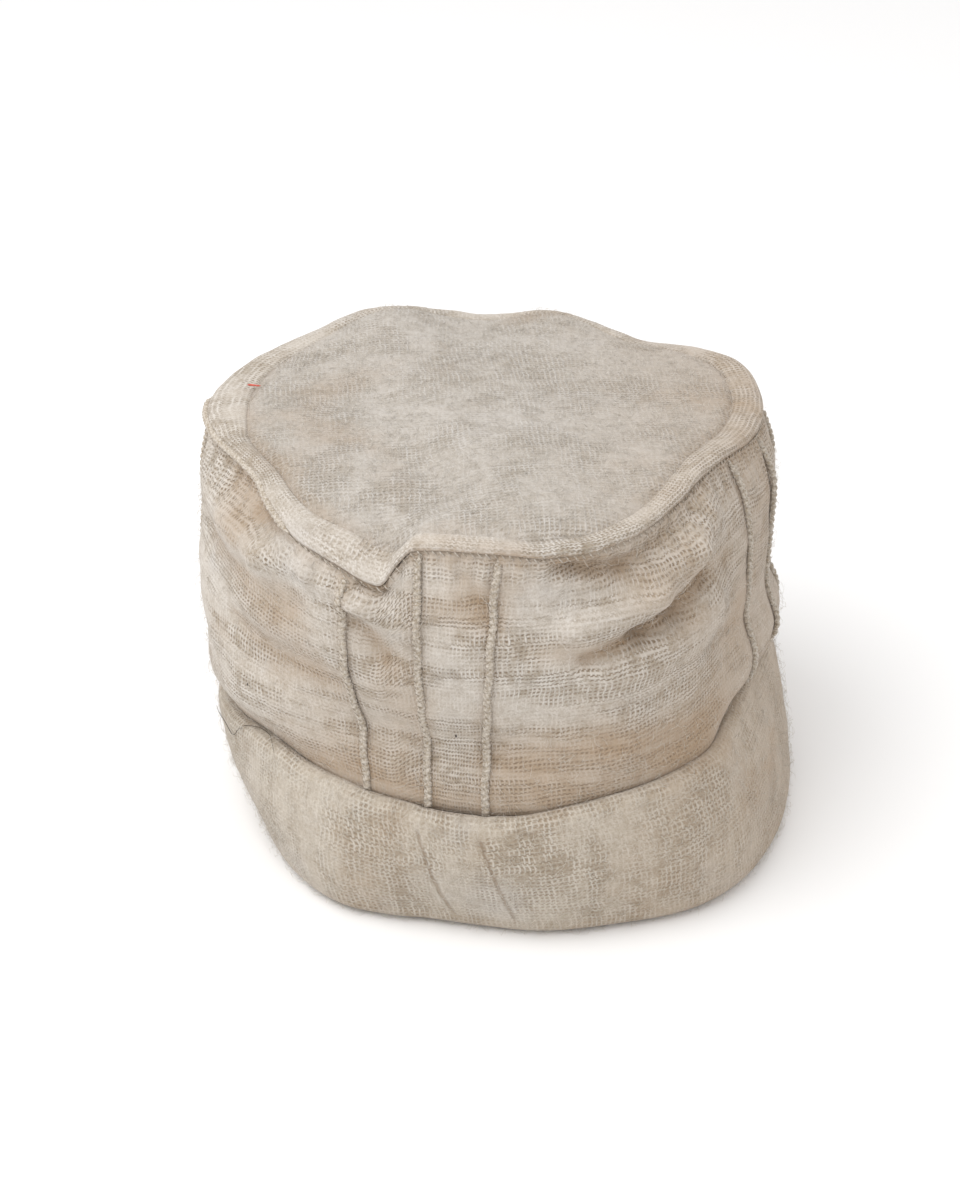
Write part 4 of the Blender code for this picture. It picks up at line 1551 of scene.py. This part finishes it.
@dataclass
class Lint:
    """A thread, two specks and a hair that have settled on the cloth."""

    form: HatForm
    steps: int = 16
    thread_at: tuple[float, float] = (-101.5, 0.85)
    hair_turns: tuple[float, ...] = (0.0, 0.0, -10.0, 55.0, 85.0, 80.0, 30.0)
    hair_lift: float = 0.0009
    thread_colour: tuple[float, float, float, float] = (0.50, 0.09, 0.06, 1.0)
    dark_colour: tuple[float, float, float, float] = (0.020, 0.014, 0.010, 1.0)

    def plain(self, name: str, colour: tuple[float, float, float, float]) -> bpy.types.Material:
        """Makes a thread's material, a little uneven along it."""
        graph = Graph(name)
        place = graph.node("ShaderNodeTexCoord", {}, {}, "Object")
        faded = tuple(min(1.0, part * 1.8) for part in colour[:3]) + (1.0,)
        grain = graph.noise(place, 900.0, 2.0, (1.0, 1.0, 1.0)).step(0.4, 0.8)
        graph.feed(graph.shader.inputs["Base Color"], graph.blend(grain, colour, faded))
        graph.feed(graph.shader.inputs["Roughness"], 0.7)
        return graph.material

    def on_crown(self) -> np.ndarray:
        """Lays the red thread on the crown."""
        middle = self.form.crown_point(np.array(self.thread_at[0]), np.array(self.thread_at[1]))
        share = np.linspace(-0.5, 0.5, self.steps + 1)
        sag = -0.0004 * np.sin(share * 3.0)
        level = np.stack([share * 0.0048, sag, 0 * share], -1)
        return middle + level + np.array([0.0, 0.0, self.form.cloth + 0.0011])

    def on_wall(self, bearing: float, level: float, reach: float) -> np.ndarray:
        """Lays a short speck on the wall."""
        level_along = level + np.linspace(-reach, reach, self.steps + 1)
        return self.form.wall_point(np.full(self.steps + 1, bearing), level_along, self.form.cloth / 2 + 0.0004)

    def on_cuff(self) -> np.ndarray:
        """Lays the hair over the cuff's rolled edge at the left."""
        form = self.form
        bearing = np.linspace(-80.0, -50.0, self.steps + 1)
        turn = np.radians(np.interp(bearing, (-80.0, -70.0, -66.0, -61.0, -57.0, -53.0, -50.0), self.hair_turns))
        drop = np.interp(bearing, (-70.0, -66.0, -62.0), (0.0, 0.003, 0.0))
        reach, height = form.cuff_edge(bearing)
        bend = form.roll_radius + form.cloth / 2 + self.hair_lift
        middle = reach - form.cloth / 2 - form.roll_radius, height - form.cloth / 2 - form.roll_radius
        return form.place(bearing, middle[0] + bend * np.cos(turn), middle[1] + bend * np.sin(turn) - drop)

    def build(self) -> list[bpy.types.Object]:
        """Models the thread, the specks and the hair."""
        red = self.plain("red_lint", self.thread_colour)
        dark = self.plain("dark_lint", self.dark_colour)
        specks = np.array([self.on_wall(-51.9, 0.51, 0.004), self.on_wall(-4.9, 0.50, 0.004)])
        made = [StrandField("red_thread", self.steps, 6).build(self.on_crown()[None], np.array([0.0007]), red)]
        made.append(StrandField("dark_specks", self.steps, 6).build(specks, np.array([0.0006, 0.0006]), dark))
        made.append(StrandField("dark_hair", self.steps, 5).build(self.on_cuff()[None], np.array([0.00022]), dark))
        return made


@dataclass(frozen=True)
class Studio:
    """The pale floor, the soft light and the camera."""

    camera_place: tuple[float, float, float] = (-0.0017, -0.7048, 0.495)
    camera_look: tuple[float, float, float] = (-0.00668, 0.8580, -0.5137)
    lens: float = 67.35
    world: float = 0.93
    key_place: tuple[float, float, float] = (-0.55, -0.35, 1.25)
    key_watts: float = 10.0
    key_size: float = 0.9

    def build(self) -> None:
        """Adds the floor, the lights and the camera."""
        scene = bpy.context.scene
        scene.view_settings.view_transform = "Standard"
        self.add_floor()
        world = bpy.data.worlds.new("studio")
        scene.world = world
        world.use_nodes = True
        background = world.node_tree.nodes["Background"]
        background.inputs["Color"].default_value = (1.0, 0.99, 0.985, 1.0)
        background.inputs["Strength"].default_value = self.world
        self.add_light("key", self.key_place, self.key_watts, self.key_size)
        camera = bpy.data.cameras.new("camera")
        camera.lens = self.lens
        camera.clip_start = 0.01
        holder = bpy.data.objects.new("camera", camera)
        holder.location = self.camera_place
        holder.rotation_euler = Vector(self.camera_look).to_track_quat("-Z", "Y").to_euler()
        scene.collection.objects.link(holder)
        scene.camera = holder

    def add_floor(self) -> None:
        """Adds the floor, which is no part of the hat."""
        clear_selection()
        bpy.ops.mesh.primitive_plane_add(size=12.0)
        floor = bpy.context.active_object
        floor.name = "floor"
        graph = Graph("floor_white")
        graph.feed(graph.shader.inputs["Base Color"], (0.93, 0.93, 0.93, 1.0))
        graph.feed(graph.shader.inputs["Roughness"], 0.9)
        floor.data.materials.append(graph.material)

    def add_light(self, name: str, place: tuple[float, float, float], watts: float, size: float) -> None:
        """Adds a square light that faces the hat."""
        light = bpy.data.lights.new(name, "AREA")
        light.energy = watts
        light.size = size
        holder = bpy.data.objects.new(name, light)
        holder.location = place
        aim = Vector((0, 0, 0.08)) - Vector(place)
        holder.rotation_euler = aim.to_track_quat("-Z", "Y").to_euler()
        bpy.context.scene.collection.objects.link(holder)


def carry(piece: bpy.types.Object) -> bpy.types.Object:
    """Lets a piece ride on the hat and logs its face count."""
    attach(piece, BODY)
    LOG.info("%s has %d faces", piece.name, len(piece.data.polygons))
    return piece


def main() -> None:
    """Builds the hat over the frame."""
    LOG.info("frame has %d nodes", len(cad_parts))
    form = HatForm()
    thread = WoolThread("sewing_wool").build()
    down = WoolThread("wool_fuzz", lit=(0.70, 0.66, 0.60, 1.0), shaded=(0.56, 0.51, 0.44, 1.0)).build()
    wall, cuff, crown, welt = SideWall(form), Cuff(form), CrownPanel(form), CrownWelt(form)
    wall_cloth = carry(wall.build())
    cuff_cloth = carry(cuff.build())
    crown_cloth = carry(crown.build())
    band = carry(welt.build())
    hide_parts("side_wall")
    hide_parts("cuff")
    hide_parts("crown_panel")
    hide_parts("crown_welt")
    wall_fuzz = carry(Fuzz(seed=5).build(wall_cloth, down))
    cuff_fuzz = carry(Fuzz(seed=6).build(cuff_cloth, down))
    crown_fuzz = carry(Fuzz(seed=7).build(crown_cloth, down))
    tucks = [Tuck(form, row, number) for number, row in enumerate(TUCKS, 1)]
    ridges = [carry(tuck.build(thread)) for tuck in tucks]
    rope = SeamRope(form, TUCKS[0], len(TUCKS) + 1, width=0.0022, rise=0.0018, pitch=0.0024)
    ridges.append(carry(rope.build(thread)))
    stitches = [carry(row) for row in Stitching(form, tucks).build(thread)]
    for lint in Lint(form).build():
        carry(lint)
    Studio().build()


if __name__ == "__main__":
    main()
